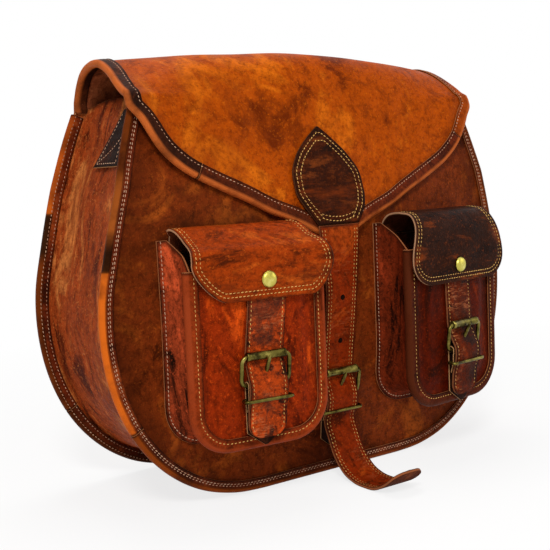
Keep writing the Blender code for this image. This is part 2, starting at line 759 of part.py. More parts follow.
def make_flap(flap):
    """The flap panel and its binding in two lengths, on the hinge at the top of the back."""
    axis = hold("flap", Matrix.Translation(flap.bent(0.0, 0.0, FLAP_THICKNESS / 2)))
    edge = BINDING_THICKNESS + SEAM_GAP + EDGE_SHY
    outline = flap.outline
    rows = []
    for length in [0.0] + flap.stations:
        point = outline.moved(length, edge)
        if point.x > SMALLEST_STEP * 5:
            rows.append((point.x, max(point.y, 0.0)))
    panel = row_sheet("flap_panel", FLAP_COLUMNS, rows, lambda x, s: flap.bent(x, s, 0.0),
                      FLAP_THICKNESS, leather("flap_leather", (0.42, 0.14, 0.025)))
    panel.modifiers["Thickness"].use_even_offset = False
    ride(panel, axis)
    half_gap = FLAP_THICKNESS / 2 + FLAP_BINDING_GAP + BINDING_THICKNESS / 2
    for side, word in ((-1, "left"), (1, "right")):

        def place(point, across, side=side):
            return flap.bent(side * max(point.x, SEAM_GAP / 2 + BINDING_THICKNESS / 2), point.y, across)

        made = channel(f"flap_binding_{word}", outline, flap.stations, (BINDING_LEG, BINDING_LEG), half_gap,
                       place, leather(f"flap_binding_{word}_leather", (0.10, 0.035, 0.02)))
        ride(made, axis)
    return axis


def leaf_lift(flap, length):
    """Height of the leaf's middle over the flap's: it climbs over the bound edge near the tip."""
    low = FLAP_THICKNESS / 2 + CONTACT_GAP + STRAP_THICKNESS / 2
    start, end = flap.length_at(LEAF_CLIMB_START), flap.length_at(LEAF_CLIMB_END)
    return low + (FLAP_BINDING_GAP + BINDING_THICKNESS) * smooth_step((length - start) / (end - start))


def leaf_slip(length, top, bottom):
    """How far the leaf sits to the left: it is sewn on askew, straight above the strap only at its foot."""
    return LEAF_SLIP * smooth_step((bottom - length) / (bottom - top) * 2)


def make_leaf(flap, axis):
    """The leaf-shaped patch sewn on the flap's front, at the head of the centre strap."""
    top, bottom = flap.length_at(LEAF_TOP_HEIGHT), flap.length_at(LEAF_BOTTOM_HEIGHT)
    width = monotone([(share, half * LEAF_HALF_WIDTH) for share, half in LEAF_WIDTH_SHARES])
    rows = [(width(k / 12), top + (bottom - top) * k / 12) for k in range(13)]
    made = row_sheet("leaf", 6, rows, lambda x, s: flap.bent(x - leaf_slip(s, top, bottom), s, leaf_lift(flap, s)),
                     STRAP_THICKNESS, leather("leaf_leather", (0.035, 0.015, 0.01)))
    ride(made, axis)


class Pocket:
    """One front pocket: its base follows the bag's front, its face is turned outward by the yaw."""

    def __init__(self, side):
        self.side = side
        self.word = "left" if side < 0 else "right"
        self.frame = (
            Matrix.Translation((side * POCKET_CENTRE, -POCKET_FRONT_REACH, 0.0))
            @ Matrix.Rotation(side * POCKET_YAW, 4, "Z")
        )
        self.seam = -(SEAM_GAP / 2 + PANEL_THICKNESS + POCKET_PUFF)
        self.depth = POCKET_FRONT_REACH + front_out(side * POCKET_CENTRE, POCKET_TOP_FRONT)
        left = side < 0
        self.flap_slip = LEFT_FLAP_SLIP if left else RIGHT_FLAP_SLIP
        self.sag = 0.0 if left else RIGHT_FLAP_SAG
        self.stud = Vector((LEFT_STUD_SLIP if left else RIGHT_STUD_SLIP, STUD_HEIGHT - self.sag))
        drop = 0.0 if left else RIGHT_BUCKLE_DROP
        self.heel = Vector((0.0 if left else RIGHT_BUCKLE_SLIP, POCKET_ROLLER_HEIGHT - FRAME_LENGTH - drop))

    def front(self, x, z, out):
        """Pocket point: x from the pocket's middle, out from the plane of its face."""
        return self.frame @ Vector((x, -out, z))

    def base(self, x, z, out):
        """Point on the bag's front, moved out from its surface."""
        across = self.side * POCKET_CENTRE + x
        return Vector((across, front_out(across, z) - out, z))

    def name(self, word):
        return f"pocket_{word}_{self.word}"

    def strap_spot(self, buckle, x, out, z):
        """Point of the strap, which runs a little askew from the stud down to the buckle."""
        share = smooth_step(z / (self.stud.y - self.heel.y))
        return buckle.point(x + (self.stud.x - self.heel.x) * share, out, z)


def pocket_outline(half_width, bottom, corner, top):
    """U outline with straight sides and round lower corners."""
    points = [Vector((-half_width, top)), Vector((-half_width, (top + bottom + corner) / 2))]
    for middle, first in ((-1, math.pi), (1, 1.5 * math.pi)):
        for k in range(9):
            angle = first + k * math.pi / 16
            points.append(Vector((
                middle * (half_width - corner) + corner * math.cos(angle),
                bottom + corner + corner * math.sin(angle),
            )))
    points += [Vector((half_width, (top + bottom + corner) / 2)), Vector((half_width, top))]
    return Outline(points)


def make_pocket_body(pocket):
    outline = pocket_outline(POCKET_HALF_WIDTH, POCKET_BOTTOM, POCKET_CORNER, POCKET_TOP_FRONT)
    base = pocket_outline(POCKET_HALF_WIDTH, POCKET_BOTTOM, POCKET_CORNER, POCKET_TOP_BACK)
    edge = BINDING_THICKNESS + SEAM_GAP + EDGE_SHY
    flange = SEAM_GAP / 2 + GUSSET_THICKNESS / 2
    lift = SEAM_GAP + GUSSET_THICKNESS / 2
    inner = POCKET_FLANGE - GUSSET_BEND
    word = pocket.word

    def gusset_at(u, v):
        share = WEB_SHARES[round(u * (len(WEB_SHARES) - 1))]
        a, b = base.length * v, outline.length * v
        if share < 0:
            spot = base.moved(a, inner if share > -2 else 0.0)
            return pocket.base(spot.x, spot.y, lift)
        if share > 1:
            spot = outline.moved(b, inner if share < 3 else edge)
            return pocket.front(spot.x, spot.y, pocket.seam - flange)
        spot = base.moved(a, POCKET_FLANGE + POCKET_FOLD * math.sin(math.pi * share))
        far = outline.moved(b, POCKET_FLANGE + POCKET_FOLD * math.sin(math.pi * share))
        near = pocket.base(spot.x, spot.y, lift + GUSSET_BEND)
        return near.lerp(pocket.front(far.x, far.y, pocket.seam - flange - GUSSET_BEND), share)

    sheet(pocket.name("gusset"), len(WEB_SHARES) - 1, POCKET_STEPS, gusset_at, GUSSET_THICKNESS,
          leather(f"pocket_gusset_{word}_leather", (0.12, 0.03, 0.015)))

    inset = [outline.moved(outline.length * k / 80, edge) for k in range(81)]
    rows = [(p.x, p.y) for p in inset if p.x > POCKET_HALF_WIDTH - POCKET_CORNER and p.y >= POCKET_BOTTOM + edge]
    rows = thinned(rows, POCKET_ROW)

    def front_at(x, z):
        spot = distance_to(outline.points, x, z)
        puff = POCKET_PUFF * smooth_step((spot - POCKET_PUFF_START) / POCKET_PUFF_RUN)
        return pocket.front(x, z, puff - POCKET_PUFF - PANEL_THICKNESS / 2)

    row_sheet(pocket.name("front"), 8, rows, front_at, PANEL_THICKNESS,
              leather(f"pocket_front_{word}_leather", (0.35, 0.06, 0.02)))
    half_gap = SEAM_GAP / 2 + PANEL_THICKNESS + BINDING_GAP + BINDING_THICKNESS / 2
    legs = (POCKET_BINDING_LEG, POCKET_FLANGE - GUSSET_BEND - SEAM_GAP)
    lengths = [outline.length * k / POCKET_STEPS for k in range(POCKET_STEPS + 1)]
    channel(pocket.name("binding"), outline, lengths, legs, half_gap,
            lambda point, across: pocket.front(point.x, point.y, pocket.seam + across),
            leather(f"pocket_binding_{word}_leather", (0.25, 0.05, 0.02)))


class PocketFlap:
    """Pattern points (x, length) of the flap and the welt it folds from, sewn on the bag and bent over the mouth."""

    def __init__(self, pocket):
        self.pocket = pocket
        over = CONTACT_GAP * 2 + STRAP_THICKNESS + POCKET_FLAP_THICKNESS / 2
        start = -pocket.depth + CONTACT_GAP + POCKET_FLAP_THICKNESS / 2
        rise = POCKET_FLAP_CROWN - POCKET_FLAP_HINGE_HEIGHT
        drop = POCKET_FLAP_CROWN - POCKET_FLAP_BOTTOM + pocket.sag
        points = [(start, POCKET_FLAP_HINGE_HEIGHT - POCKET_FLAP_WELT)]
        points += [(start, POCKET_FLAP_HINGE_HEIGHT - POCKET_FLAP_THICKNESS)]
        low = pocket.side < 0
        tops = LOW_FLAP_TOP_SHARES if low else POCKET_FLAP_TOP_SHARES
        fronts = LOW_FLAP_FRONT_SHARES if low else POCKET_FLAP_FRONT_SHARES
        self.flare = LOW_FLAP_FLARE if low else 0.0
        self.corner = LOW_FLAP_CORNER if low else POCKET_FLAP_CORNER
        self.bend = LOW_FLAP_CORNER_BEND if low else POCKET_FLAP_CORNER_BEND
        points += [(start * (1 - a), POCKET_FLAP_HINGE_HEIGHT + rise * b) for a, b in tops]
        points += [(over * a, POCKET_FLAP_CROWN - drop * b) for a, b in fronts]
        self.route = Route([Vector(p) for p in points], 8)
        self.length = self.route.length
        self.over = over
        line = self.route.line
        k = next(k for k in range(len(line)) if line[k].x > -POCKET_FLAP_SPLIT)
        share = (-POCKET_FLAP_SPLIT - line[k - 1].x) / (line[k].x - line[k - 1].x)
        self.split = self.route.ends[k - 1] + share * (self.route.ends[k] - self.route.ends[k - 1])
        self.hinge = self.bent(0.0, self.split, POCKET_FLAP_THICKNESS / 2)

    def half_width(self, length):
        spread = smooth_step((length / self.length - POCKET_FLAP_SPREAD_START) / POCKET_FLAP_SPREAD)
        root = POCKET_FLAP_ROOT_HALF_WIDTH
        root += self.flare * smooth_step((length - LOW_FLAP_FLARE_START) / LOW_FLAP_FLARE_RUN)
        half = root + (POCKET_FLAP_HALF_WIDTH - root) * spread
        past = min(max(length - (self.length - self.corner), 0.0) / self.corner, 1.0)
        return half - POCKET_FLAP_CORNER_WIDTH * (1 - (1 - past ** self.bend) ** (1 / self.bend))

    def surface(self, x, length):
        spot = self.route.at(length)
        x = x + self.pocket.flap_slip * (length / self.length) ** 2
        out, z = spot.x, spot.y
        if out >= -POCKET_FLAP_SPLIT:
            return self.pocket.front(x, z, out)
        share = (self.pocket.depth + out) / (self.pocket.depth - POCKET_FLAP_SPLIT)
        back = self.pocket.base(x, min(z, POCKET_FLAP_HINGE_HEIGHT), 0.0)
        back.z = z
        return back.lerp(self.pocket.front(x, z, -POCKET_FLAP_SPLIT), share)

    def bent(self, x, length, across):
        step = POCKET_FLAP_THICKNESS
        run = self.surface(x, length + step) - self.surface(x, length - step)
        side = self.surface(x + step, length) - self.surface(x - step, length)
        return self.surface(x, length) - side.cross(run).normalized() * across


def make_pocket_flap(pocket, flap):
    word = pocket.word
    axis = hold(f"pocket_flap_{word}", Matrix.Translation(flap.hinge) @ pocket.frame.to_3x3().to_4x4())
    start = flap.split + SEAM_GAP
    run = flap.length - start
    lengths = [start + run * (1 - (1 - k / POCKET_FLAP_ROWS) ** POCKET_FLAP_CROWD) for k in range(POCKET_FLAP_ROWS + 1)]
    rows = [(flap.half_width(s), s) for s in lengths]
    made = row_sheet(pocket.name("flap"), POCKET_FLAP_COLUMNS, rows, lambda x, s: flap.bent(x, s, 0.0),
                     POCKET_FLAP_THICKNESS, leather(f"pocket_flap_{word}_leather", (0.16, 0.04, 0.02)))
    made.modifiers["Thickness"].use_even_offset = False
    shank = cutter_rod(f"stud_hole_{word}", pocket.front(pocket.stud.x, pocket.stud.y, -CUT_OVERRUN),
                       pocket.front(pocket.stud.x, pocket.stud.y, flap.over + CUT_OVERRUN),
                       STUD_SHANK_RADIUS + RIVET_CLEARANCE)
    cut(made, shank)
    ride(made, axis)

    lengths = [flap.split * k / WELT_ROWS for k in range(WELT_ROWS + 1)]
    rows = [(flap.half_width(s), s) for s in lengths]
    made = row_sheet(pocket.name("welt"), POCKET_FLAP_COLUMNS, rows, lambda x, s: flap.bent(x, s, 0.0),
                     POCKET_FLAP_THICKNESS, leather(f"pocket_welt_{word}_leather", (0.14, 0.04, 0.02)))
    made.modifiers["Thickness"].use_even_offset = False
    face = flap.over + POCKET_FLAP_THICKNESS / 2 + CONTACT_GAP
    stud = Matrix.Translation((pocket.stud.x, 0.0, pocket.stud.y)) @ Matrix.Rotation(math.pi / 2, 4, "X")
    stud = pocket.frame @ stud
    dome = [(STUD_RADIUS * math.sin(a), face + STUD_EDGE + (STUD_RISE - STUD_EDGE) * math.cos(a))
            for a in [k * math.pi / 10 for k in range(6)]]
    profile = [(0.0, dome[0][1])] + dome[1:] + [
        (STUD_RADIUS, face), (STUD_SHANK_RADIUS, face), (STUD_SHANK_RADIUS, CONTACT_GAP), (0.0, CONTACT_GAP),
    ]
    made = turned(f"stud_{word}", profile, brass(f"stud_{word}_brass"), stud, STUD_STEPS)
    ride(made, axis)
    return shank, axis


class Buckle:
    """A roller buckle: frame, roller, prong and keeper on a folded chape. Its frame's origin is under the heel bar."""

    def __init__(self, word, frame):
        self.word = word
        self.frame = frame
        self.heel = CONTACT_GAP * 2 + CHAPE_THICKNESS + FRAME_WIRE_RADIUS
        self.fold = FRAME_WIRE_RADIUS + CONTACT_GAP + CHAPE_THICKNESS / 2
        self.under = CONTACT_GAP + STRAP_THICKNESS / 2
        self.roller = self.under + STRAP_THICKNESS / 2 + CONTACT_GAP + ROLLER_RADIUS
        self.keeper_z = FRAME_LENGTH - KEEPER_DROP
        lower = CONTACT_GAP + CHAPE_THICKNESS
        self.keeper_back = lower + CONTACT_GAP + KEEPER_WIRE_RADIUS
        self.upper = self.keeper_back + KEEPER_WIRE_RADIUS + CONTACT_GAP + CHAPE_THICKNESS / 2
        self.strap_keeper = self.upper + CHAPE_THICKNESS / 2 + CONTACT_GAP + STRAP_THICKNESS / 2
        self.keeper_front = self.strap_keeper + STRAP_THICKNESS / 2 + CONTACT_GAP + KEEPER_WIRE_RADIUS
        loop = FRAME_WIRE_RADIUS + CONTACT_GAP + 2 * PRONG_LOOP_WIRE
        self.strap_heel = self.heel + loop + CONTACT_GAP * 2 + STRAP_THICKNESS / 2

    def point(self, x, out, z):
        return self.frame @ Vector((x, -out, z))

    def strap_points(self):
        """(out, z) of the strap's middle from above the roller to its end below the keeper."""
        run = FRAME_LENGTH
        mid = (self.under + self.strap_heel) / 2
        points = [(self.under, run * 1.35), (self.under, run * 1.05)]
        points += [(self.under + (mid - self.under) * 0.25, run * 0.78), (mid, run * 0.45)]
        points += [(self.strap_heel, run * 0.04), (self.strap_keeper + CONTACT_GAP, self.keeper_z)]
        points += [(self.upper, -CHAPE_UPPER_DROP)]
        return points


def make_chape(buckle, material):
    heel, fold = buckle.heel, buckle.fold
    back = CONTACT_GAP + CHAPE_THICKNESS / 2
    points = [(back, -CHAPE_TIP_DROP), (back, -CHAPE_TIP_DROP * 0.5), (back, -fold * 1.6)]
    points += [(heel + fold * math.cos(a), fold * math.sin(a)) for a in
               [math.radians(180 - k * 30) for k in range(7)]]
    upper = buckle.upper
    points += [(upper + CONTACT_GAP / 3, buckle.keeper_z * 0.6), (upper, buckle.keeper_z)]
    points += [(back + CHAPE_THICKNESS + CONTACT_GAP * 2, -CHAPE_UPPER_DROP)]
    route = Route([Vector(p) for p in points], 2)
    half = CHAPE_WIDTH / 2
    lengths = sorted(route.ends + [CHAPE_POINT])

    def at(u, v):
        length = lengths[round(v * (len(lengths) - 1))]
        spot = route.at(length)
        share = min(length / CHAPE_POINT, 1.0)
        return buckle.point((2 * u - 1) * half * (CHAPE_TIP_SHARE + (1 - CHAPE_TIP_SHARE) * share), spot.x, spot.y)

    made = sheet(f"chape_{buckle.word}", 2, len(lengths) - 1, at, CHAPE_THICKNESS, material)
    slot = PRONG_RADIUS + PRONG_SLOT_GAP
    reach = FRAME_WIRE_RADIUS + CONTACT_GAP + 2 * PRONG_LOOP_WIRE + PRONG_SLOT_GAP
    box = cutter_box(f"prong_slot_{buckle.word}", buckle.frame, (-slot, -(heel + CUT_OVERRUN), -reach),
                     (slot, CUT_OVERRUN, reach * PRONG_SLOT_TOP_SHARE))
    cut(made, box)
    return made


def rounded_loop(half, low, high, corner, steps=4):
    """Corner points of a rounded rectangle in (x, place), place running from low to high."""
    points = []
    for x, y, first in ((half, high, 0), (-half, high, 90), (-half, low, 180), (half, low, 270)):
        for k in range(steps):
            angle = math.radians(first + 90 * k / (steps - 1))
            inward_x = math.copysign(corner, x)
            inward_y = math.copysign(corner, y - (low + high) / 2)
            points.append((x - inward_x + corner * math.cos(angle), y - inward_y + corner * math.sin(angle)))
    return points


def make_buckle(buckle):
    """Each moving piece is held by an empty on its own axis."""
    word = buckle.word
    heel, roller = buckle.heel, buckle.roller

    def seat(name, out, z):
        return hold(f"{name}_{word}", buckle.frame @ Matrix.Translation((0.0, -out, z)))

    def add_wire(name, points, radius, cyclic, shares, sides, out, z):
        mesh = wire_mesh(f"{name}_{word}", points, radius, cyclic, shares, sides)
        made = add_object(f"{name}_{word}", mesh, PARTS, brass(f"{name}_{word}_brass"))
        return ride(made, seat(name, out, z))

    frame_points = []
    for x, z in rounded_loop(FRAME_HALF_WIDTH, 0.0, FRAME_LENGTH, FRAME_CORNER):
        frame_points.append(buckle.point(x, heel + (roller - heel) * z / FRAME_LENGTH, z))
    add_wire("frame", frame_points, FRAME_WIRE_RADIUS, True, None, 2, heel, 0.0)

    low, high = buckle.keeper_back, buckle.keeper_front
    loop = rounded_loop(KEEPER_HALF_WIDTH, low, high, KEEPER_CORNER, 3)
    add_wire("keeper", [buckle.point(x, out, buckle.keeper_z) for x, out in loop],
             KEEPER_WIRE_RADIUS, True, None, 1, low, buckle.keeper_z)

    prong, shares = [], []
    ring = FRAME_WIRE_RADIUS + CONTACT_GAP + PRONG_LOOP_WIRE
    leave = 90 + math.degrees(buckle_prong_lean(buckle))
    for k in range(9):
        angle = math.radians(-50 - (310 - leave) * k / 8)
        prong.append(buckle.point(0.0, heel + ring * math.cos(angle), ring * math.sin(angle)))
        shares.append(PRONG_LOOP_WIRE / PRONG_RADIUS)
    start, reach = prong_line(buckle)
    for share, thick in PRONG_SHARES:
        spot = start + reach * share
        prong.append(buckle.point(0.0, spot.x, spot.y))
        shares.append(thick)
    add_wire("prong", prong, PRONG_RADIUS, False, shares, 1, heel, 0.0)

    axis = seat("roller", roller, FRAME_LENGTH)
    half = ROLLER_LENGTH / 2
    bore = FRAME_WIRE_RADIUS + ROLLER_BORE_GAP
    profile = [(bore, -half), (bore, half), (ROLLER_RADIUS, half), (ROLLER_RADIUS, -half), (bore, -half)]
    tube = turned(f"roller_{word}", profile, brass(f"roller_{word}_brass"), Matrix.Identity(4), 14)
    tube.parent = axis
    tube.rotation_euler = (0.0, math.pi / 2, 0.0)


def buckle_prong_lean(buckle):
    """Angle from the strap's run at which the prong clears the roller."""
    ring = FRAME_WIRE_RADIUS + CONTACT_GAP + PRONG_LOOP_WIRE
    clear = ROLLER_RADIUS + CONTACT_GAP + PRONG_RADIUS
    rise = Vector((buckle.roller - buckle.heel, FRAME_LENGTH))
    return math.asin((clear + ring) / rise.length) + math.atan2(rise.x, rise.y)


def prong_line(buckle):
    """Start (out, z) and run of the prong's straight shank, tangent to its loop and clear of the roller."""
    ring = FRAME_WIRE_RADIUS + CONTACT_GAP + PRONG_LOOP_WIRE
    lean = buckle_prong_lean(buckle)
    start = Vector((buckle.heel - ring * math.cos(lean), ring * math.sin(lean)))
    rise = Vector((buckle.roller - buckle.heel, FRAME_LENGTH))
    reach = rise.length + PRONG_OVER
    return start, Vector((math.sin(lean), math.cos(lean))) * reach


def make_strap(name, points, place, material, buckle, extra_cuts, axis, flare=0.0):
    """A strap along (out, z) points, carried by the axis of its flap; place(x, out, z) gives the point."""
    route = Route([Vector(p) for p in points], 6)
    rows = max(int(route.length / STRAP_ROW), 8)
    half = STRAP_WIDTH / 2

    def at(u, v):
        length = route.length * (1 - (1 - v) ** STRAP_CROWD)
        past = max(length - (route.length - STRAP_END_CORNER), 0.0)
        width = half - STRAP_END_CORNER + math.sqrt(max(STRAP_END_CORNER ** 2 - past * past, 0.0))
        width += flare * (1 - smooth_step(length / STRAP_FLARE_RUN))
        spot = route.at(length)
        return place((2 * u - 1) * width, spot.x, spot.y)

    made = sheet(name, 2, rows, at, STRAP_THICKNESS, material)
    made.modifiers["Thickness"].use_even_offset = False
    start, reach = prong_line(buckle)
    low, high = start + reach * PRONG_CUT_SHARES[0], start + reach * PRONG_CUT_SHARES[1]
    hole = cutter_rod(f"prong_hole_{buckle.word}", buckle.point(0.0, low.x, low.y),
                      buckle.point(0.0, high.x, high.y), PRONG_RADIUS + RIVET_CLEARANCE)
    cut(made, hole)
    for cutter in extra_cuts:
        cut(made, cutter)
    return ride(made, axis)


def make_pocket(side):
    pocket = Pocket(side)
    flap = PocketFlap(pocket)
    make_pocket_body(pocket)
    shank, axis = make_pocket_flap(pocket, flap)
    heel = pocket.heel
    buckle = Buckle(pocket.word, pocket.frame @ Matrix.Translation((heel.x, 0.0, heel.y)))
    make_chape(buckle, leather(f"chape_{pocket.word}_leather", (0.06, 0.02, 0.015)))
    make_buckle(buckle)
    points = [(buckle.under, STRAP_TOP_HEIGHT - heel.y), (buckle.under, FRAME_LENGTH * 2)]
    points += buckle.strap_points()
    points += [(buckle.upper - CHAPE_THICKNESS, -STRAP_END_DROP)]
    make_strap(pocket.name("strap"), points, lambda x, out, z: pocket.strap_spot(buckle, x, out, z),
               leather(f"pocket_strap_{pocket.word}_leather", (0.20, 0.05, 0.02)), buckle, [shank], axis)


def make_centre_strap(flap, axis):
    heel_height = CENTRE_ROLLER_HEIGHT - FRAME_LENGTH
    base = front_out(0.0, heel_height) - CENTRE_SEAT_GAP
    frame = Matrix.Translation((0.0, base, heel_height)) @ Matrix.Rotation(CENTRE_BUCKLE_PITCH, 4, "X")
    buckle = Buckle("centre", frame)
    make_chape(buckle, leather("chape_centre_leather", (0.06, 0.02, 0.015)))
    make_buckle(buckle)
    top = flap.length_at(LEAF_BOTTOM_HEIGHT - SEAM_GAP)
    first = flap.bent(0.0, top, leaf_lift(flap, top))
    points = [(-first.y, first.z)]
    hang = -first.y + STRAP_HANG
    points += [(hang, first.z - STRAP_FALL * share) for share in (0.2, 0.55)]
    for out, z in buckle.strap_points():
        spot = buckle.point(0.0, out, z)
        points.append((-spot.y, spot.z))
    last_out, last_z = points[-1]
    floor = FLOOR_CLEARANCE + STRAP_THICKNESS / 2
    reach = TAIL_REACH - last_out
    points += [(last_out + reach * a, floor + (last_z - floor) * b) for a, b in TAIL_SHARES]
    points += [(last_out + reach * a, floor + (TAIL_CURL_HEIGHT - floor) * b) for a, b in TAIL_CURL_SHARES]
    holes = []
    for k, height in enumerate((CENTRE_ROLLER_HEIGHT + STRAP_HOLE_FIRST, CENTRE_ROLLER_HEIGHT + STRAP_HOLE_FIRST
                                + STRAP_HOLE_PITCH)):
        holes.append(cutter_rod(f"strap_hole_{k + 1}", (0.0, -hang - CUT_OVERRUN, height),
                                (0.0, -hang + CUT_OVERRUN * 2, height), STRAP_HOLE_RADIUS))
    make_strap("centre_strap", points, lambda x, out, z: Vector((x, -out, z)),
               leather("centre_strap_leather", (0.16, 0.045, 0.02)), buckle, holes, axis, STRAP_FLARE)


clear_scene()
PARTS = bpy.data.collections.new("leather_saddle_bag")
CUTTERS = bpy.data.collections.new("cutters")
bpy.context.scene.collection.children.link(PARTS)
bpy.context.scene.collection.children.link(CUTTERS)
INSETS = {}
OUTLINE = body_outline(0.0, MOUTH_HEIGHT)
make_body_panels()
make_gusset()
make_body_bindings()
make_hem()
make_tabs()
MAIN_FLAP = Flap()
FLAP_AXIS = make_flap(MAIN_FLAP)
make_leaf(MAIN_FLAP, FLAP_AXIS)
make_centre_strap(MAIN_FLAP, FLAP_AXIS)
for pocket_side in (-1, 1):
    make_pocket(pocket_side)
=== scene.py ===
"""The looks of the leather saddle bag: high-detail leather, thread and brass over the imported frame."""

import bisect
import json
import math

import bmesh
import bpy
import numpy as np
from mathutils import Matrix, Vector, noise

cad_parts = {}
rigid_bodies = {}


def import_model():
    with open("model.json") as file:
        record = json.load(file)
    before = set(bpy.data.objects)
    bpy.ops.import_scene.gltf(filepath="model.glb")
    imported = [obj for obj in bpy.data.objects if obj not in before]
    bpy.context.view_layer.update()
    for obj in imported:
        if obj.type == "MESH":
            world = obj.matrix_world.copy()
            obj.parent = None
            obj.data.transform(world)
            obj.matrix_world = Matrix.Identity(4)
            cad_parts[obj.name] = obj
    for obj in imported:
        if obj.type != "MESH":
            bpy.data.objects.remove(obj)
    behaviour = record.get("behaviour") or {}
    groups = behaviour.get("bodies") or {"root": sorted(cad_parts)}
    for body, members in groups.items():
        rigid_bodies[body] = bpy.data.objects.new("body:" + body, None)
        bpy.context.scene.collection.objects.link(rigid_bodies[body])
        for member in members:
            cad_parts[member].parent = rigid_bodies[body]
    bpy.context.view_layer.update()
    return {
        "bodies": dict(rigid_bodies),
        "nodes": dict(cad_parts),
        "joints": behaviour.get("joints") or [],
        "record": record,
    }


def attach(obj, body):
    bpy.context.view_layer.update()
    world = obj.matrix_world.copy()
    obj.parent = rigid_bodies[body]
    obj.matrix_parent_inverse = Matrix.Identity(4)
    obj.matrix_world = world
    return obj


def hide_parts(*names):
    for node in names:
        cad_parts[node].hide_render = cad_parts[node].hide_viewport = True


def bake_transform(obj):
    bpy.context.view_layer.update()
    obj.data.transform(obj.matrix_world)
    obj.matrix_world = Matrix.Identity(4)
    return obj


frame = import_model()

# Visual detail
GRID_STEP = 0.003
FINE_STEP = 0.0005
POCKET_STEP = 0.0022
BINDING_FRONT_LEG = 0.0080
GROOVE_DEPTH = 0.00028
GROOVE_WIDTH = 0.0008
THREAD_RADIUS = 0.00029
THREAD_STEP = 0.0012
STITCH_PITCH = 0.0027
STITCH_LENGTH = 0.0020
STITCH_SINK = 0.00012
STITCH_SIDES = 6
STITCH_SLANT = 0.13
# (share of a stitch's length, pace) of the sway in the stitches' slant
STITCH_SWAY = ((0.06, 2.4), (0.04, 5.3))
STITCH_FLATNESS = 0.8
NORMAL_REACH = 0.004
# Along a stitch, as shares of its length; its height and thickness, as shares of the thread's radius
STITCH_SHAPE = ((-0.5, -1.1, 0.55), (-0.44, -0.15, 0.85), (-0.25, 0.42, 1.0), (0.0, 0.6, 1.04),
                (0.25, 0.42, 1.0), (0.44, -0.15, 0.85), (0.5, -1.1, 0.55))
RIPPLE_CALM = 0.014

# Body
HALF_WIDTH = 0.174
MOUTH_HEIGHT = 0.262
BODY_DEPTH = 0.093
PANEL_THICKNESS = 0.0016
GUSSET_THICKNESS = 0.0014
BINDING_THICKNESS = 0.001
SEAM_GAP = 0.0003
BINDING_GAP = 0.0004
EDGE_SHY = 0.0009
BINDING_LEG = 0.0078
FLANGE_WIDTH = 0.0098
GUSSET_BEND = 0.0017
GUSSET_SAG = 0.003
GUSSET_WAVE = 0.0007
GUSSET_WAVE_IN = 0.0004
GUSSET_WAVES_ALONG = 95.0
GUSSET_WAVES_IN_DEPTH = 70.0
GUSSET_TOP_ARCH = 0.009
GUSSET_TOP_RISE = 0.0045
FRONT_BULGE = 0.0072
BULGE_RUN = 0.085
FRONT_TOP_HEIGHT = 0.256
TOP_LEAN = 0.013
TOP_LEAN_START = 0.168
TOP_LEAN_RUN = 0.095
SEAM_LEAN = 0.0085
BACK_LEAN = 0.007
SEAM_LEAN_START = 0.205
HEM_DEPTH = 0.009
GUSSET_TOP = 0.2565
BINDING_TOP = 0.255

# Main flap
FLAP_THICKNESS = 0.0018
FLAP_STANDOFF = 0.0032
FLAP_CLEAR_RUN = 0.008
FLAP_RISE = 0.0295
FLAP_TOP_HEIGHT = MOUTH_HEIGHT + FLAP_RISE
BINDING_PROUD = 0.0013
FLAP_HALF_WIDTH = 0.148
FLAP_BACK_HALF_WIDTH = 0.1405
FLAP_TIP_HEIGHT = 0.160
FLAP_BACK_GAP = 0.0006
FLAP_BINDING_GAP = 0.0006
LEAF_CLIMB_START = 0.197
LEAF_CLIMB_END = 0.183

# Leaf and straps
LEAF_HALF_WIDTH = 0.0297
LEAF_TOP_HEIGHT = 0.240
LEAF_BOTTOM_HEIGHT = 0.1735
LEAF_SLIP = 0.0028
STRAP_WIDTH = 0.027
STRAP_THICKNESS = 0.002
STRAP_HOLE_RADIUS = 0.0016
STRAP_HOLE_PITCH = 0.030
STRAP_HOLE_FIRST = 0.021
EYELET_RISE = 0.0006
# Shares of the hole's radius, and heights
EYELET_PROFILE = ((0.0, -0.0001), (0.82, -0.0001), (0.9, 0.0), (1.0, 0.00012), (1.1, 0.0), (1.15, -0.0003),
                  (1.1, -0.0012), (0.0, -0.0013))
STRAP_HANG = 0.0006
STRAP_FALL = 0.080
STRAP_END_CORNER = 0.009
STRAP_FLARE = 0.0037
STRAP_FLARE_RUN = 0.05
STRAP_CROWN = 0.0003
FLOOR_CLEARANCE = 0.0002
TAIL_REACH = 0.079
TAIL_CURL_HEIGHT = 0.0155

# Pockets
POCKET_CENTRE = 0.0855
POCKET_YAW = math.radians(5.8)
POCKET_FRONT_REACH = 0.040
POCKET_HALF_WIDTH = 0.0495
POCKET_BOTTOM = 0.0405
POCKET_CORNER = 0.027
POCKET_TOP_FRONT = 0.154
POCKET_TOP_BACK = 0.172
POCKET_PUFF = 0.002
POCKET_FLANGE = 0.0062
POCKET_FLAP_HALF_WIDTH = 0.0508
POCKET_FLAP_ROOT_HALF_WIDTH = 0.0415
POCKET_FLAP_CORNER = 0.017
LOW_FLAP_CORNER = 0.024
LOW_FLAP_FLARE = 0.0037
LOW_FLAP_FLARE_START = 0.0105
LOW_FLAP_FLARE_RUN = 0.005
POCKET_FLAP_CORNER_WIDTH = 0.020
LEFT_FLAP_SLIP = 0.0068
RIGHT_FLAP_SLIP = 0.003
RIGHT_FLAP_SAG = 0.006
LEFT_STUD_SLIP = 0.005
RIGHT_STUD_SLIP = 0.001
RIGHT_BUCKLE_SLIP = 0.003
RIGHT_BUCKLE_DROP = 0.002
POCKET_FLAP_THICKNESS = 0.0018
POCKET_FLAP_HINGE_HEIGHT = 0.1715
POCKET_FLAP_CROWN = 0.1785
POCKET_FLAP_BOTTOM = 0.134
POCKET_FLAP_WELT = 0.008
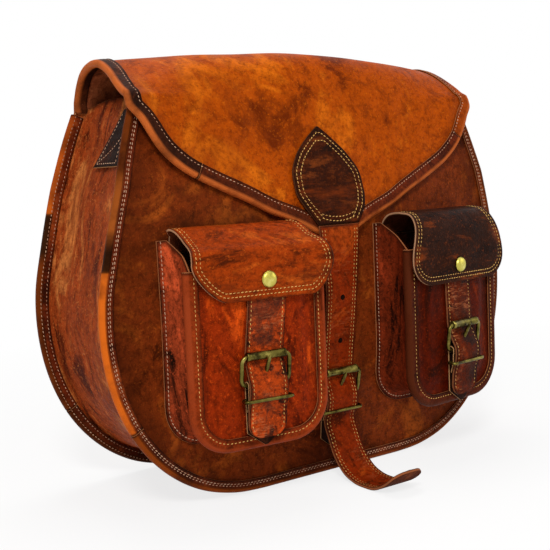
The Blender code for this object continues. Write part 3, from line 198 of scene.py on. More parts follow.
POCKET_FLAP_SPLIT = 0.013
POCKET_PUFF_START = 0.0138
POCKET_PUFF_RUN = 0.008
POCKET_FOLD = 0.003
STUD_HEIGHT = 0.146
STUD_RADIUS = 0.005
STUD_RISE = 0.0026
STUD_BRIM = 0.0009
STUD_SHANK_RADIUS = 0.0015

# Buckles
POCKET_ROLLER_HEIGHT = 0.100
CENTRE_ROLLER_HEIGHT = 0.073
CENTRE_BUCKLE_PITCH = math.radians(6.0)
FRAME_LENGTH = 0.018
KEEPER_DROP = 0.027
FRAME_WIRE_RADIUS = 0.0014
FRAME_HALF_WIDTH = 0.0168
FRAME_CORNER = 0.004
ROLLER_RADIUS = 0.0028
ROLLER_LENGTH = 0.0275
ROLLER_BORE_GAP = 0.0003
ROLLER_LIP = 0.0004
ROLLER_GROOVE = 0.00015
KEEPER_WIRE_RADIUS = 0.0011
KEEPER_HALF_WIDTH = 0.0165
PRONG_RADIUS = 0.0014
PRONG_LOOP_WIRE = 0.0006
CHAPE_THICKNESS = 0.0012
CHAPE_WIDTH = 0.0265
CHAPE_TIP_DROP = 0.039
CHAPE_STEP = 0.0011
CHAPE_POINT = 0.009
CHAPE_UPPER_DROP = 0.0165
STRAP_END_DROP = 0.0335
STRAP_TOP_HEIGHT = 0.157
CONTACT_GAP = 0.0003
KEEPER_CORNER = 0.0018
PRONG_OVER = 0.0015
PRONG_SLOT_GAP = 0.0005
CENTRE_SEAT_GAP = 0.0003
PRONG_RING = FRAME_WIRE_RADIUS + CONTACT_GAP + PRONG_LOOP_WIRE

# Side tabs
TAB_TOP_HEIGHT = 0.254
TAB_BOTTOM_HEIGHT = 0.218
TAB_THICKNESS = 0.002
TAB_BOTTOM_WIDTH = 0.0405
TAB_TOP_WIDTH = 0.010
TAB_FRONT_START = 0.0150
# Ends of each seam, as shares across the tab and up it
TAB_SEAMS = (((0.07, 0.93), (0.16, 0.07)), ((0.16, 0.07), (0.93, 0.07)), ((0.93, 0.07), (0.84, 0.93)),
             ((0.90, 0.10), (0.12, 0.52)))

SMALLEST_STEP = 0.0001

# Shares of the body's half width and mouth height, up the side of the outline
OUTLINE_SHARES = (
    (0.345, 0.0), (0.49, 0.0075), (0.638, 0.038), (0.776, 0.099), (0.885, 0.183),
    (0.96, 0.286), (0.998, 0.40), (1.0, 0.52), (0.965, 0.64), (0.92, 0.763),
    (0.862, 0.897), (0.806, 1.0),
)
# Shares of the body's depth and of the rise or drop, along the flap's middle
FLAP_TOP_SHARES = ((1.0, 0.0), (0.93, 0.4), (0.8, 0.76), (0.65, 0.94), (0.45, 1.0), (0.25, 0.95))
FLAP_FRONT_SHARES = (
    (0.135, 0.075), (0.078, 0.19), (0.046, 0.345), (0.0, 0.53), (-0.055, 0.70), (-0.11, 0.85), (-0.145, 1.0),
)
FLAP_SIDE_TOP_SHARES = (
    (1.0, 0.0), (0.939, 0.273), (0.829, 0.533), (0.691, 0.671), (0.518, 0.706), (0.372, 0.55),
)
FLAP_SIDE_FRONT_SHARES = (
    (0.206, 0.162), (0.060, 0.236), (-0.038, 0.342), (-0.083, 0.53), (-0.124, 0.70), (-0.179, 0.85),
    (-0.214, 1.0),
)
POCKET_FLAP_TOP_SHARES = ((0.13, 0.62), (0.33, 0.97), (0.62, 1.0), (0.86, 0.75))
POCKET_FLAP_FRONT_SHARES = ((0.35, 0.17), (0.93, 0.33), (1.0, 0.5), (1.0, 0.75), (1.0, 1.0))
# The same for the left pocket, whose flap lies lower over the mouth
LOW_FLAP_TOP_SHARES = ((0.06, 0.6), (0.17, 1.0), (0.38, 0.78), (0.62, 0.0))
LOW_FLAP_FRONT_SHARES = ((0.15, 0.28), (0.93, 0.39), (1.0, 0.48), (1.0, 0.75), (1.0, 1.0))
POCKET_FLAP_CORNER_BEND = 2.0
LOW_FLAP_CORNER_BEND = 1.5
POCKET_FLAP_SPREAD_START = 0.36
POCKET_FLAP_SPREAD = 0.45
# Places along the prong's shank and shares of its radius there
PRONG_PLACES = (0, 0.14, 0.3, 0.6, 0.88, 1.0)
PRONG_SHARES = (0.45, 0.6, 1, 1, 0.85, 0.3)
CHAPE_TIP_SHARE = 0.06
# Shares of the run to the tail's tip and of the height left, then of the curl's height
TAIL_SHARES = ((0.05, 0.72), (0.14, 0.38), (0.27, 0.13), (0.42, 0.02))
TAIL_CURL_SHARES = ((0.56, 0.0), (0.7, 0.05), (0.86, 0.42), (1.0, 1.0))
BINDING_JOIN_SHARE = 0.27
FLAP_STEPS = 90
HEM_COLUMNS = 12
# Shares of the flap's half width, down its front from the ridge (share of the drop to the tip)
FLAP_WIDTH_SHARES = (
    (0.0, 0.985), (0.12, 1.0), (0.25, 1.0), (0.35, 0.955), (0.49, 0.878),
    (0.59, 0.777), (0.69, 0.605), (0.75, 0.485), (0.82, 0.36), (0.88, 0.22), (0.92, 0.145), (1.0, 0.012),
)
# Shares of the leaf's half width from its top point down
LEAF_WIDTH_SHARES = (
    (0.0, 0.01), (0.12, 0.36), (0.3, 0.76), (0.5, 0.985), (0.65, 1.0), (0.8, 0.9), (1.0, 0.59),
)


def monotone(points):
    """A smooth curve through (place, value) points that never overshoots them."""
    xs = [p[0] for p in points]
    ys = [p[1] for p in points]
    steps = [(ys[i + 1] - ys[i]) / (xs[i + 1] - xs[i]) for i in range(len(xs) - 1)]
    slopes = [steps[0]]
    for before, after in zip(steps, steps[1:]):
        slopes.append(2 * before * after / (before + after) if before * after > 0 else 0.0)
    slopes.append(steps[-1])

    def value(x):
        x = min(max(x, xs[0]), xs[-1])
        i = min(max(bisect.bisect_right(xs, x) - 1, 0), len(steps) - 1)
        width = xs[i + 1] - xs[i]
        t = (x - xs[i]) / width
        bend = slopes[i] * (1 - t) ** 2 * t - slopes[i + 1] * (1 - t) * t * t
        return ys[i] * (1 + 2 * t) * (1 - t) ** 2 + ys[i + 1] * t * t * (3 - 2 * t) + width * bend

    return value


def smooth_step(share):
    share = min(max(share, 0.0), 1.0)
    return share * share * (3 - 2 * share)


def off_sheet(surface, a, b, across, step):
    """The point this far across a sheet from its middle surface(a, b)."""
    run = surface(a, b + step) - surface(a, b - step)
    side = surface(a + step, b) - surface(a - step, b)
    return surface(a, b) - side.cross(run).normalized() * across


class Outline:
    """A line of points read by its length, with its inward direction. Past an end it runs on straight."""

    def __init__(self, points, steps=200):
        self.points = points
        self.steps = steps
        self.ends = [0.0]
        for a, b in zip(points, points[1:]):
            self.ends.append(self.ends[-1] + (b - a).length)
        self.length = self.ends[-1]

    def at(self, length):
        i = min(max(bisect.bisect_right(self.ends, length) - 1, 0), len(self.points) - 2)
        a, b = self.points[i], self.points[i + 1]
        return a + (b - a) * ((length - self.ends[i]) / (self.ends[i + 1] - self.ends[i]))

    def inward(self, length):
        step = self.length / self.steps
        along = (self.at(length + step) - self.at(length - step)).normalized()
        return Vector((-along.y, along.x))

    def moved(self, length, inset):
        return self.at(length) + self.inward(length) * inset


def smooth_line(points, steps=12):
    """An Outline along a smooth cubic line through points, with this many steps between two of them."""
    points = [Vector(p) for p in points]
    line = []
    for i in range(len(points) - 1):
        start, end = points[i], points[i + 1]
        reach = (end - start).length
        leave = (end - points[max(i - 1, 0)]).normalized() * reach
        arrive = (points[min(i + 2, len(points) - 1)] - start).normalized() * reach
        for t in (k / steps for k in range(steps)):
            line.append(start * (1 + 2 * t) * (1 - t) ** 2 + end * t * t * (3 - 2 * t)
                        + leave * t * (1 - t) ** 2 - arrive * t * t * (1 - t))
    return Outline(line + [points[-1]], 400)


def body_outline(inset=0.0):
    """The bag's U outline from the left of the mouth, round the bottom, to the right, moved in by inset."""
    side = [(share_x * HALF_WIDTH, share_z * MOUTH_HEIGHT) for share_x, share_z in OUTLINE_SHARES]
    flat = [(side[0][0] * share, 0.0) for share in (-0.5, 0.0, 0.5)]
    route = smooth_line([(-x, z) for x, z in reversed(side)] + flat + side, 8)
    moved = [route.points[k] + route.inward(route.ends[k]) * inset for k in range(len(route.points))]
    return [Vector((point.x, max(point.y, inset))) for point in moved]


def side_half_width(z, inset=0.0):
    """Half width of the moved outline at height z."""
    points = [p for p in INSETS.setdefault(inset, body_outline(inset)) if p.x > 0]
    for a, b in zip(points, points[1:]):
        if a.y <= z <= b.y:
            return a.x + (b.x - a.x) * (z - a.y) / max(b.y - a.y, SMALLEST_STEP / 100)
    return points[-1].x if z > points[-1].y else points[0].x


def seam_y(z, lean):
    """How far the seam leans in towards the mouth at this height."""
    return lean * max(0.0, (z - SEAM_LEAN_START) / (MOUTH_HEIGHT - SEAM_LEAN_START))


def front_mid(x, z):
    """Y of the front panel's middle surface: it bulges in the middle and sags back at the empty mouth."""
    inside = distance_to(OUTLINE, x, z) - FLANGE_WIDTH
    bulge = FRONT_BULGE * smooth_step(inside / BULGE_RUN)
    rise = smooth_step((z - TOP_LEAN_START) / (FRONT_TOP_HEIGHT - TOP_LEAN_START))
    sag = TOP_LEAN * rise * smooth_step(inside / TOP_LEAN_RUN)
    return seam_y(z, SEAM_LEAN) + sag - SEAM_GAP / 2 - PANEL_THICKNESS / 2 - bulge


def front_out(x, z):
    return front_mid(x, z) - PANEL_THICKNESS / 2


def gusset_depth(y):
    """How far in from the outline the gusset's middle surface lies at this depth."""
    return FLANGE_WIDTH + GUSSET_SAG * math.sin(math.pi * min(max(y / BODY_DEPTH, 0.0), 1.0))


def gusset_rise(y):
    """How far the gusset's top edge stands above its front corner at this depth."""
    return GUSSET_TOP_ARCH * math.sin(math.pi * y / BODY_DEPTH) + GUSSET_TOP_RISE * y / BODY_DEPTH


def place_in_depth(point, y):
    """A body pattern point in space: the depth narrows towards the mouth as the seams lean in."""
    lean = seam_y(point.y, SEAM_LEAN)
    share = y / BODY_DEPTH
    return Vector((point.x, y + lean * (1 - share) - seam_y(point.y, BACK_LEAN) * share, point.y))


class Flap:
    """The main flap: pattern points (x, length from the hinge) bent over the mouth and down the front."""

    def __init__(self):
        back = BODY_DEPTH + SEAM_GAP / 2 + PANEL_THICKNESS / 2
        hinge = MOUTH_HEIGHT + FLAP_BACK_GAP
        back -= seam_y(hinge, BACK_LEAN)
        rise = FLAP_TOP_HEIGHT - hinge
        drop = FLAP_TOP_HEIGHT - FLAP_TIP_HEIGHT

        def line(tops, fronts):
            points = [(back * a, hinge + rise * b) for a, b in tops]
            return smooth_line(points + [(back * a, FLAP_TOP_HEIGHT - drop * b) for a, b in fronts])

        self.centre = line(FLAP_TOP_SHARES, FLAP_FRONT_SHARES)
        self.side = line(FLAP_SIDE_TOP_SHARES, FLAP_SIDE_FRONT_SHARES)
        self.length = self.centre.length
        self.ridge = min(range(len(self.centre.points)), key=lambda k: -self.centre.points[k].y)
        self.ridge_length = self.centre.ends[self.ridge]
        self.width = monotone([(share, half * FLAP_HALF_WIDTH) for share, half in FLAP_WIDTH_SHARES])
        half = [Vector((self.half_width(self.length * k / FLAP_STEPS), self.length * k / FLAP_STEPS))
                for k in range(FLAP_STEPS + 1)]
        self.outline = Outline([p for p in half if p.x > 0])

    def half_width(self, length):
        if length <= self.ridge_length:
            share = smooth_step(length / self.ridge_length)
            return FLAP_BACK_HALF_WIDTH + (self.width(0.0) - FLAP_BACK_HALF_WIDTH) * share
        drop = (FLAP_TOP_HEIGHT - self.centre.at(length).y) / (FLAP_TOP_HEIGHT - FLAP_TIP_HEIGHT)
        return self.width(drop)

    def beside(self, length):
        """Point of the side line that lies beside this length of the middle line."""
        ends, line = self.centre.ends, self.side.points
        i = min(max(bisect.bisect_right(ends, length) - 1, 0), len(line) - 2)
        return line[i] + (line[i + 1] - line[i]) * ((length - ends[i]) / (ends[i + 1] - ends[i]))

    def surface(self, x, length):
        share = min((x / FLAP_HALF_WIDTH) ** 2, 1.0)
        middle = self.centre.at(length)
        edge = self.beside(length)
        spot = middle + (edge - middle) * share
        y, z = spot.x, spot.y
        over_mouth = (FRONT_TOP_HEIGHT + FLAP_CLEAR_RUN - z) / FLAP_CLEAR_RUN
        if length > self.ridge_length and over_mouth > 0:
            beside = 1 - smooth_step((distance_to(OUTLINE, x, z) - BINDING_LEG) / FLANGE_WIDTH)
            limit = front_out(x, z) - FLAP_STANDOFF - BINDING_PROUD * beside
            near = FLAP_STANDOFF
            over = (y - limit) / near
            soft = near * (max(over, 0.0) if abs(over) > 1 else (over + 1) ** 2 / 4)
            y = y - soft * smooth_step(2 * over_mouth)
        return Vector((x, y, z))

    def bent(self, x, length, across):
        return off_sheet(self.surface, x, length, across, FLAP_THICKNESS)

    def length_at(self, height):
        """Pattern length where the front of the flap's middle is at this height."""
        line = self.centre.points
        for k in range(self.ridge, len(line) - 1):
            if line[k].y >= height >= line[k + 1].y:
                share = (line[k].y - height) / (line[k].y - line[k + 1].y)
                return self.centre.ends[k] + share * (self.centre.ends[k + 1] - self.centre.ends[k])
        return self.length


def leaf_lift(flap, length):
    """Height of the leaf's middle over the flap's: it climbs over the bound edge near the tip."""
    low = FLAP_THICKNESS / 2 + CONTACT_GAP + STRAP_THICKNESS / 2
    start, end = flap.length_at(LEAF_CLIMB_START), flap.length_at(LEAF_CLIMB_END)
    return low + (FLAP_BINDING_GAP + BINDING_THICKNESS) * smooth_step((length - start) / (end - start))


def leaf_slip(length, top, bottom):
    """How far the leaf sits to the left: it is sewn on askew, straight above the strap only at its foot."""
    return LEAF_SLIP * smooth_step((bottom - length) / (bottom - top) * 2)


class Pocket:
    """One front pocket: its base follows the bag's front, its face is turned outward by the yaw."""

    def __init__(self, side):
        self.side = side
        self.word = "left" if side < 0 else "right"
        self.frame = (
            Matrix.Translation((side * POCKET_CENTRE, -POCKET_FRONT_REACH, 0.0))
            @ Matrix.Rotation(side * POCKET_YAW, 4, "Z")
        )
        self.seam = -(SEAM_GAP / 2 + PANEL_THICKNESS + POCKET_PUFF)
        self.depth = POCKET_FRONT_REACH + front_out(side * POCKET_CENTRE, POCKET_TOP_FRONT)
        left = side < 0
        self.flap_slip = LEFT_FLAP_SLIP if left else RIGHT_FLAP_SLIP
        self.sag = 0.0 if left else RIGHT_FLAP_SAG
        self.stud = Vector((LEFT_STUD_SLIP if left else RIGHT_STUD_SLIP, STUD_HEIGHT - self.sag))
        drop = 0.0 if left else RIGHT_BUCKLE_DROP
        self.heel = Vector((0.0 if left else RIGHT_BUCKLE_SLIP, POCKET_ROLLER_HEIGHT - FRAME_LENGTH - drop))

    def front(self, x, z, out):
        """Pocket point: x from the pocket's middle, out from the plane of its face."""
        return self.frame @ Vector((x, -out, z))

    def base(self, x, z, out):
        """Point on the bag's front, moved out from its surface."""
        across = self.side * POCKET_CENTRE + x
        return Vector((across, front_out(across, z) - out, z))

    def name(self, word):
        return f"pocket_{word}_{self.word}"

    def strap_spot(self, buckle, x, out, z):
        """Point of the strap, which runs a little askew from the stud down to the buckle."""
        share = smooth_step(z / (self.stud.y - self.heel.y))
        return buckle.point(x + (self.stud.x - self.heel.x) * share, out, z)


def pocket_outline(top):
    """A pocket's U outline with straight sides and round lower corners, from the left end of its top."""
    half, corner = POCKET_HALF_WIDTH, POCKET_CORNER
    upper = (top + POCKET_BOTTOM + corner) / 2
    points = [(-half, top), (-half, upper)]
    for middle, first in ((corner - half, math.pi), (half - corner, 1.5 * math.pi)):
        for angle in (first + k * math.pi / 16 for k in range(9)):
            points.append((middle + corner * math.cos(angle),
                           POCKET_BOTTOM + corner + corner * math.sin(angle)))
    return Outline([Vector(p) for p in points + [(half, upper), (half, top)]])


class PocketFlap:
    """Pattern points (x, length) of a pocket's flap and its welt, bent over the pocket's mouth."""

    def __init__(self, pocket):
        self.pocket = pocket
        over = CONTACT_GAP * 2 + STRAP_THICKNESS + POCKET_FLAP_THICKNESS / 2
        start = -pocket.depth + CONTACT_GAP + POCKET_FLAP_THICKNESS / 2
        rise = POCKET_FLAP_CROWN - POCKET_FLAP_HINGE_HEIGHT
        drop = POCKET_FLAP_CROWN - POCKET_FLAP_BOTTOM + pocket.sag
        points = [(start, POCKET_FLAP_HINGE_HEIGHT - POCKET_FLAP_WELT)]
        points += [(start, POCKET_FLAP_HINGE_HEIGHT - POCKET_FLAP_THICKNESS)]
        low = pocket.side < 0
        tops = LOW_FLAP_TOP_SHARES if low else POCKET_FLAP_TOP_SHARES
        fronts = LOW_FLAP_FRONT_SHARES if low else POCKET_FLAP_FRONT_SHARES
        self.flare = LOW_FLAP_FLARE if low else 0.0
        self.corner = LOW_FLAP_CORNER if low else POCKET_FLAP_CORNER
        self.bend = LOW_FLAP_CORNER_BEND if low else POCKET_FLAP_CORNER_BEND
        points += [(start * (1 - a), POCKET_FLAP_HINGE_HEIGHT + rise * b) for a, b in tops]
        points += [(over * a, POCKET_FLAP_CROWN - drop * b) for a, b in fronts]
        self.route = smooth_line(points, 8)
        self.length = self.route.length
        self.over = over

    def half_width(self, length):
        spread = smooth_step((length / self.length - POCKET_FLAP_SPREAD_START) / POCKET_FLAP_SPREAD)
        root = POCKET_FLAP_ROOT_HALF_WIDTH
        root += self.flare * smooth_step((length - LOW_FLAP_FLARE_START) / LOW_FLAP_FLARE_RUN)
        half = root + (POCKET_FLAP_HALF_WIDTH - root) * spread
        past = min(max(length - (self.length - self.corner), 0.0) / self.corner, 1.0)
        return half - POCKET_FLAP_CORNER_WIDTH * (1 - (1 - past ** self.bend) ** (1 / self.bend))

    def surface(self, x, length):
        spot = self.route.at(length)
        x = x + self.pocket.flap_slip * (length / self.length) ** 2
        out, z = spot.x, spot.y
        if out >= -POCKET_FLAP_SPLIT:
            return self.pocket.front(x, z, out)
        share = (self.pocket.depth + out) / (self.pocket.depth - POCKET_FLAP_SPLIT)
        back = self.pocket.base(x, min(z, POCKET_FLAP_HINGE_HEIGHT), 0.0)
        back.z = z
        return back.lerp(self.pocket.front(x, z, -POCKET_FLAP_SPLIT), share)

    def bent(self, x, length, across):
        return off_sheet(self.surface, x, length, across, POCKET_FLAP_THICKNESS)


class Buckle:
    """A roller buckle on a folded chape, with its keeper. The origin of its place is under the heel bar."""

    def __init__(self, word, frame):
        self.word = word
        self.frame = frame
        self.heel = CONTACT_GAP * 2 + CHAPE_THICKNESS + FRAME_WIRE_RADIUS
        self.fold = FRAME_WIRE_RADIUS + CONTACT_GAP + CHAPE_THICKNESS / 2
        self.under = CONTACT_GAP + STRAP_THICKNESS / 2
        self.roller = self.under + STRAP_THICKNESS / 2 + CONTACT_GAP + ROLLER_RADIUS
        self.keeper_z = FRAME_LENGTH - KEEPER_DROP
        lower = CONTACT_GAP + CHAPE_THICKNESS
        self.keeper_back = lower + CONTACT_GAP + KEEPER_WIRE_RADIUS
        self.upper = self.keeper_back + KEEPER_WIRE_RADIUS + CONTACT_GAP + CHAPE_THICKNESS / 2
        self.strap_keeper = self.upper + CHAPE_THICKNESS / 2 + CONTACT_GAP + STRAP_THICKNESS / 2
        self.keeper_front = self.strap_keeper + STRAP_THICKNESS / 2 + CONTACT_GAP + KEEPER_WIRE_RADIUS
        loop = FRAME_WIRE_RADIUS + CONTACT_GAP + 2 * PRONG_LOOP_WIRE
        self.strap_heel = self.heel + loop + CONTACT_GAP * 2 + STRAP_THICKNESS / 2

    def point(self, x, out, z):
        return self.frame @ Vector((x, -out, z))

    def strap_points(self):
        """(out, z) of the strap's middle from above the roller to its end below the keeper."""
        run = FRAME_LENGTH
        mid = (self.under + self.strap_heel) / 2
        points = [(self.under, run * 1.35), (self.under, run * 1.05)]
        points += [(self.under + (mid - self.under) * 0.25, run * 0.78), (mid, run * 0.45)]
        points += [(self.strap_heel, run * 0.04), (self.strap_keeper + CONTACT_GAP, self.keeper_z)]
        points += [(self.upper, -CHAPE_UPPER_DROP)]
        return points


def prong_line(buckle):
    """The prong's lean from the strap's run, then its shank's start (out, z) and run, clear of the roller."""
    clear = ROLLER_RADIUS + CONTACT_GAP + PRONG_RADIUS
    rise = Vector((buckle.roller - buckle.heel, FRAME_LENGTH))
    lean = math.asin((clear + PRONG_RING) / rise.length) + math.atan2(rise.x, rise.y)
    start = Vector((buckle.heel - PRONG_RING * math.cos(lean), PRONG_RING * math.sin(lean)))
    return lean, start, Vector((math.sin(lean), math.cos(lean))) * (rise.length + PRONG_OVER)


def distance_to(points, x, z):
    """Least distance from (x, z) to a line of points."""
    key = id(points)
    if key not in SEGMENTS:
        line = np.array([(p.x, p.y) for p in points])
        SEGMENTS[key] = (line[:-1], line[1:] - line[:-1], points)
    start, run, _ = SEGMENTS[key]
    away = np.array((x, z)) - start
    share = np.clip((away * run).sum(1) / np.maximum((run * run).sum(1), 1e-14), 0.0, 1.0)
    return float(np.sqrt((((run * share[:, None]) - away) ** 2).sum(1).min()))


def settle(made, carrier, slot, nodes=()):
    """Give a finished piece its place in the frame: it rides on a body, or else its transform is baked where
    it stands.
    """
    if isinstance(carrier, str):
        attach(made, carrier)
    else:
        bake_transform(made)
    if nodes:
        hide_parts(*nodes)
    return made


def add_mesh(name, points, faces, materials, face_slots=None, attributes=None, merge=False):
    mesh = bpy.data.meshes.new(name)
    mesh.from_pydata([tuple(p) for p in points], [], [tuple(f) for f in faces])
    for key, values in (attributes or {}).items():
        mesh.attributes.new(key, "FLOAT", "POINT").data.foreach_set("value", np.asarray(values, np.float32))
    for material in materials:
        mesh.materials.append(material)
    if face_slots is not None:
        mesh.polygons.foreach_set("material_index", np.asarray(face_slots, np.int32))
    work = bmesh.new()
    work.from_mesh(mesh)
    if merge:
        bmesh.ops.remove_doubles(work, verts=work.verts, dist=SMALLEST_STEP / 100)
    bmesh.ops.recalc_face_normals(work, faces=work.faces)
    work.to_mesh(mesh)
    work.free()
    mesh.polygons.foreach_set("use_smooth", [True] * len(mesh.polygons))
    mesh.update()
    made = bpy.data.objects.new(name, mesh)
    bpy.context.scene.collection.objects.link(made)
    return made


def unit(vectors):
    return vectors / np.maximum(np.linalg.norm(vectors, axis=-1, keepdims=True), 1e-12)


def grid_normals(grid, sign):
    return unit(np.cross(np.gradient(grid, axis=1), np.gradient(grid, axis=0))) * sign


def edge_distance(grid):
    """Distance of each grid point to the nearest border, along its row or column."""
    nearest = []
    for axis in (0, 1):
        steps = np.linalg.norm(np.diff(grid, axis=axis), axis=2)
        run = np.cumsum(np.insert(steps, 0, 0.0, axis=axis), axis=axis)
        nearest.append(np.minimum(run, run.take([-1], axis=axis) - run))
    return np.minimum(*nearest)


def shell(name, mids, thickness, materials, carrier, nodes=(), sign=1, groove=None, ripple=0.0,
          ripple_size=0.03, fold=None, slot=None, seed=0.0):
    """A closed leather piece with a rounded rim over a grid of middle-surface points."""
    grid = np.array(mids, float)
    rows, columns = grid.shape[:2]
    normals = grid_normals(grid, sign)
    edge = edge_distance(grid)
    if ripple:
        for i, j in np.ndindex(rows, columns):
            spot = Vector(grid[i, j]) / ripple_size + Vector((seed, seed * 2, seed * 3))
            grid[i, j] += normals[i, j] * (ripple * smooth_step(edge[i, j] / RIPPLE_CALM) * noise.noise(spot))
        normals = grid_normals(grid, sign)
    half = thickness / 2
    sink = np.zeros_like(edge) if groove is None else np.array(groove)
    loop = [(0, j) for j in range(columns)] + [(i, columns - 1) for i in range(1, rows)]
    loop += [(rows - 1, j) for j in range(columns - 2, -1, -1)] + [(i, 0) for i in range(rows - 2, 0, -1)]
    rim = tuple(np.array(loop).T)
    border, facing = grid[rim], normals[rim]
    inward = grid[np.clip(rim[0], 1, rows - 2), np.clip(rim[1], 1, columns - 2)] - border
    inward = unit(inward) * np.minimum(half, np.linalg.norm(inward, axis=1, keepdims=True) * 0.4)
    outer = grid + normals * (half - sink)[..., None]
    inner = grid - normals * half
    outer[rim] = border + inward + facing * half
    inner[rim] = border + inward - facing * half
    slant = math.sqrt(0.5)
    rings = [border + inward * (1 - slant) + facing * half * slant, border,
             border + inward * (1 - slant) - facing * half * slant]
    points = np.concatenate([outer.reshape(-1, 3), inner.reshape(-1, 3)] + rings)
    count, around = rows * columns, len(loop)
    faces, slots = [], []
    for a in (i * columns + j for i in range(rows - 1) for j in range(columns - 1)):
        faces.append((a, a + 1, a + columns + 1, a + columns))
        faces.append(tuple(count + k for k in (a, a + columns, a + columns + 1, a + 1)))
        slots += [0, len(materials) - 1]
    first_rim = rim[0] * columns + rim[1]
    chains = [first_rim, *(2 * count + k * around + np.arange(around) for k in range(3)), count + first_rim]
    for first, second in zip(chains, chains[1:]):
        faces += zip(first.tolist(), np.roll(first, -1).tolist(), np.roll(second, -1).tolist(),
                     second.tolist())
        slots += [0] * around

    def spread(values, ring_values):
        return np.concatenate([values.ravel()] * 2 + ring_values)

    one = np.ones(around)
    attributes = {"edge": spread(edge, [one * 0] * 3),
                  "rim": spread(np.zeros_like(edge), [one * slant, one, one * slant])}
    if fold is not None:
        fold = np.array(fold)
        attributes["fold"] = spread(fold, [fold[rim]] * 3)
    return settle(add_mesh(name, points, faces, materials, slots, attributes), carrier, slot or nodes[0],
                  nodes)


def tube_faces(first, rings, sides):
    """Faces of a tube whose rings of points begin at index first, and of its two flat ends."""
    faces = []
    for ring in range(rings - 1):
        for turn in range(sides):
            a = first + ring * sides + turn
            b = first + ring * sides + (turn + 1) % sides
            faces.append((a, b, b + sides, a + sides))
    start = tuple(range(first, first + sides))
    return faces + [start[::-1], tuple(a + (rings - 1) * sides for a in start)]


def stitches(name, rows, material, carrier, slot):
    """Rows of thread: each row is a list of (point, outward normal) along its seam."""
    points, faces = [], []
    for row in rows:
        spots = np.array([tuple(p) for p, _ in row])
        outs = unit(np.array([tuple(n) for _, n in row]))
        ends = np.concatenate([[0.0], np.cumsum(np.linalg.norm(np.diff(spots, axis=0), axis=1))])
        count = max(int(ends[-1] / STITCH_PITCH), 1)
        pitch = ends[-1] / count

        def read(values, length):
            return np.array([np.interp(length, ends, values[:, k]) for k in range(3)])

        for k in range(count):
            middle = (k + 0.5) * pitch
            out = unit(read(outs, middle))
            side = np.cross(out, unit(read(spots, middle + pitch / 2) - read(spots, middle - pitch / 2)))
            sway = sum(share * math.sin(k * pace) for share, pace in STITCH_SWAY)
            lean = STITCH_LENGTH * (STITCH_SLANT + sway)
            faces += tube_faces(len(points), len(STITCH_SHAPE), STITCH_SIDES)
            for place, height, thick in STITCH_SHAPE:
                spot = read(spots, middle + place * STITCH_LENGTH)
                spot = spot + side * (place * lean) + out * (height * THREAD_RADIUS - STITCH_SINK)
                for turn in range(STITCH_SIDES):
                    angle = 2 * math.pi * turn / STITCH_SIDES
                    away = side * math.cos(angle) + out * math.sin(angle) * STITCH_FLATNESS
                    points.append(spot + away * THREAD_RADIUS * thick)
    return settle(add_mesh(name, points, faces, [material]), carrier, slot)


def seam_path(place, pairs, lift):
    """Points and outward normals along pattern pairs (a, b), out from the middle surface by lift."""
    spots = [(place(a, b, lift), a, b) for a, b in pairs]
    return [(spot, place(a, b, lift + NORMAL_REACH / 4) - spot) for spot, a, b in spots]


def surface_place(surface, sign, step=0.0012):
    """Turn a middle surface(a, b) into place(a, b, out)."""
    return lambda a, b, out: off_sheet(surface, a, b, -out * sign, step)


def groove_at(distance, rows):
    """Depth that the thread has pulled the leather down, at a distance from its edge."""
    return sum(GROOVE_DEPTH * math.exp(-((distance - row) / GROOVE_WIDTH) ** 2) for row in rows)


def even(low, high, step):
    count = max(int(round((high - low) / step)), 2)
    return [low + (high - low) * k / count for k in range(count + 1)]


# Materials

ZONE_TOP = 0.3
FOLD_WIDTH = 0.0034
SPECKLE = 0.6
GLOSS = 0.04
WARM = (1.0, 0.55, 0.30, 1.0)


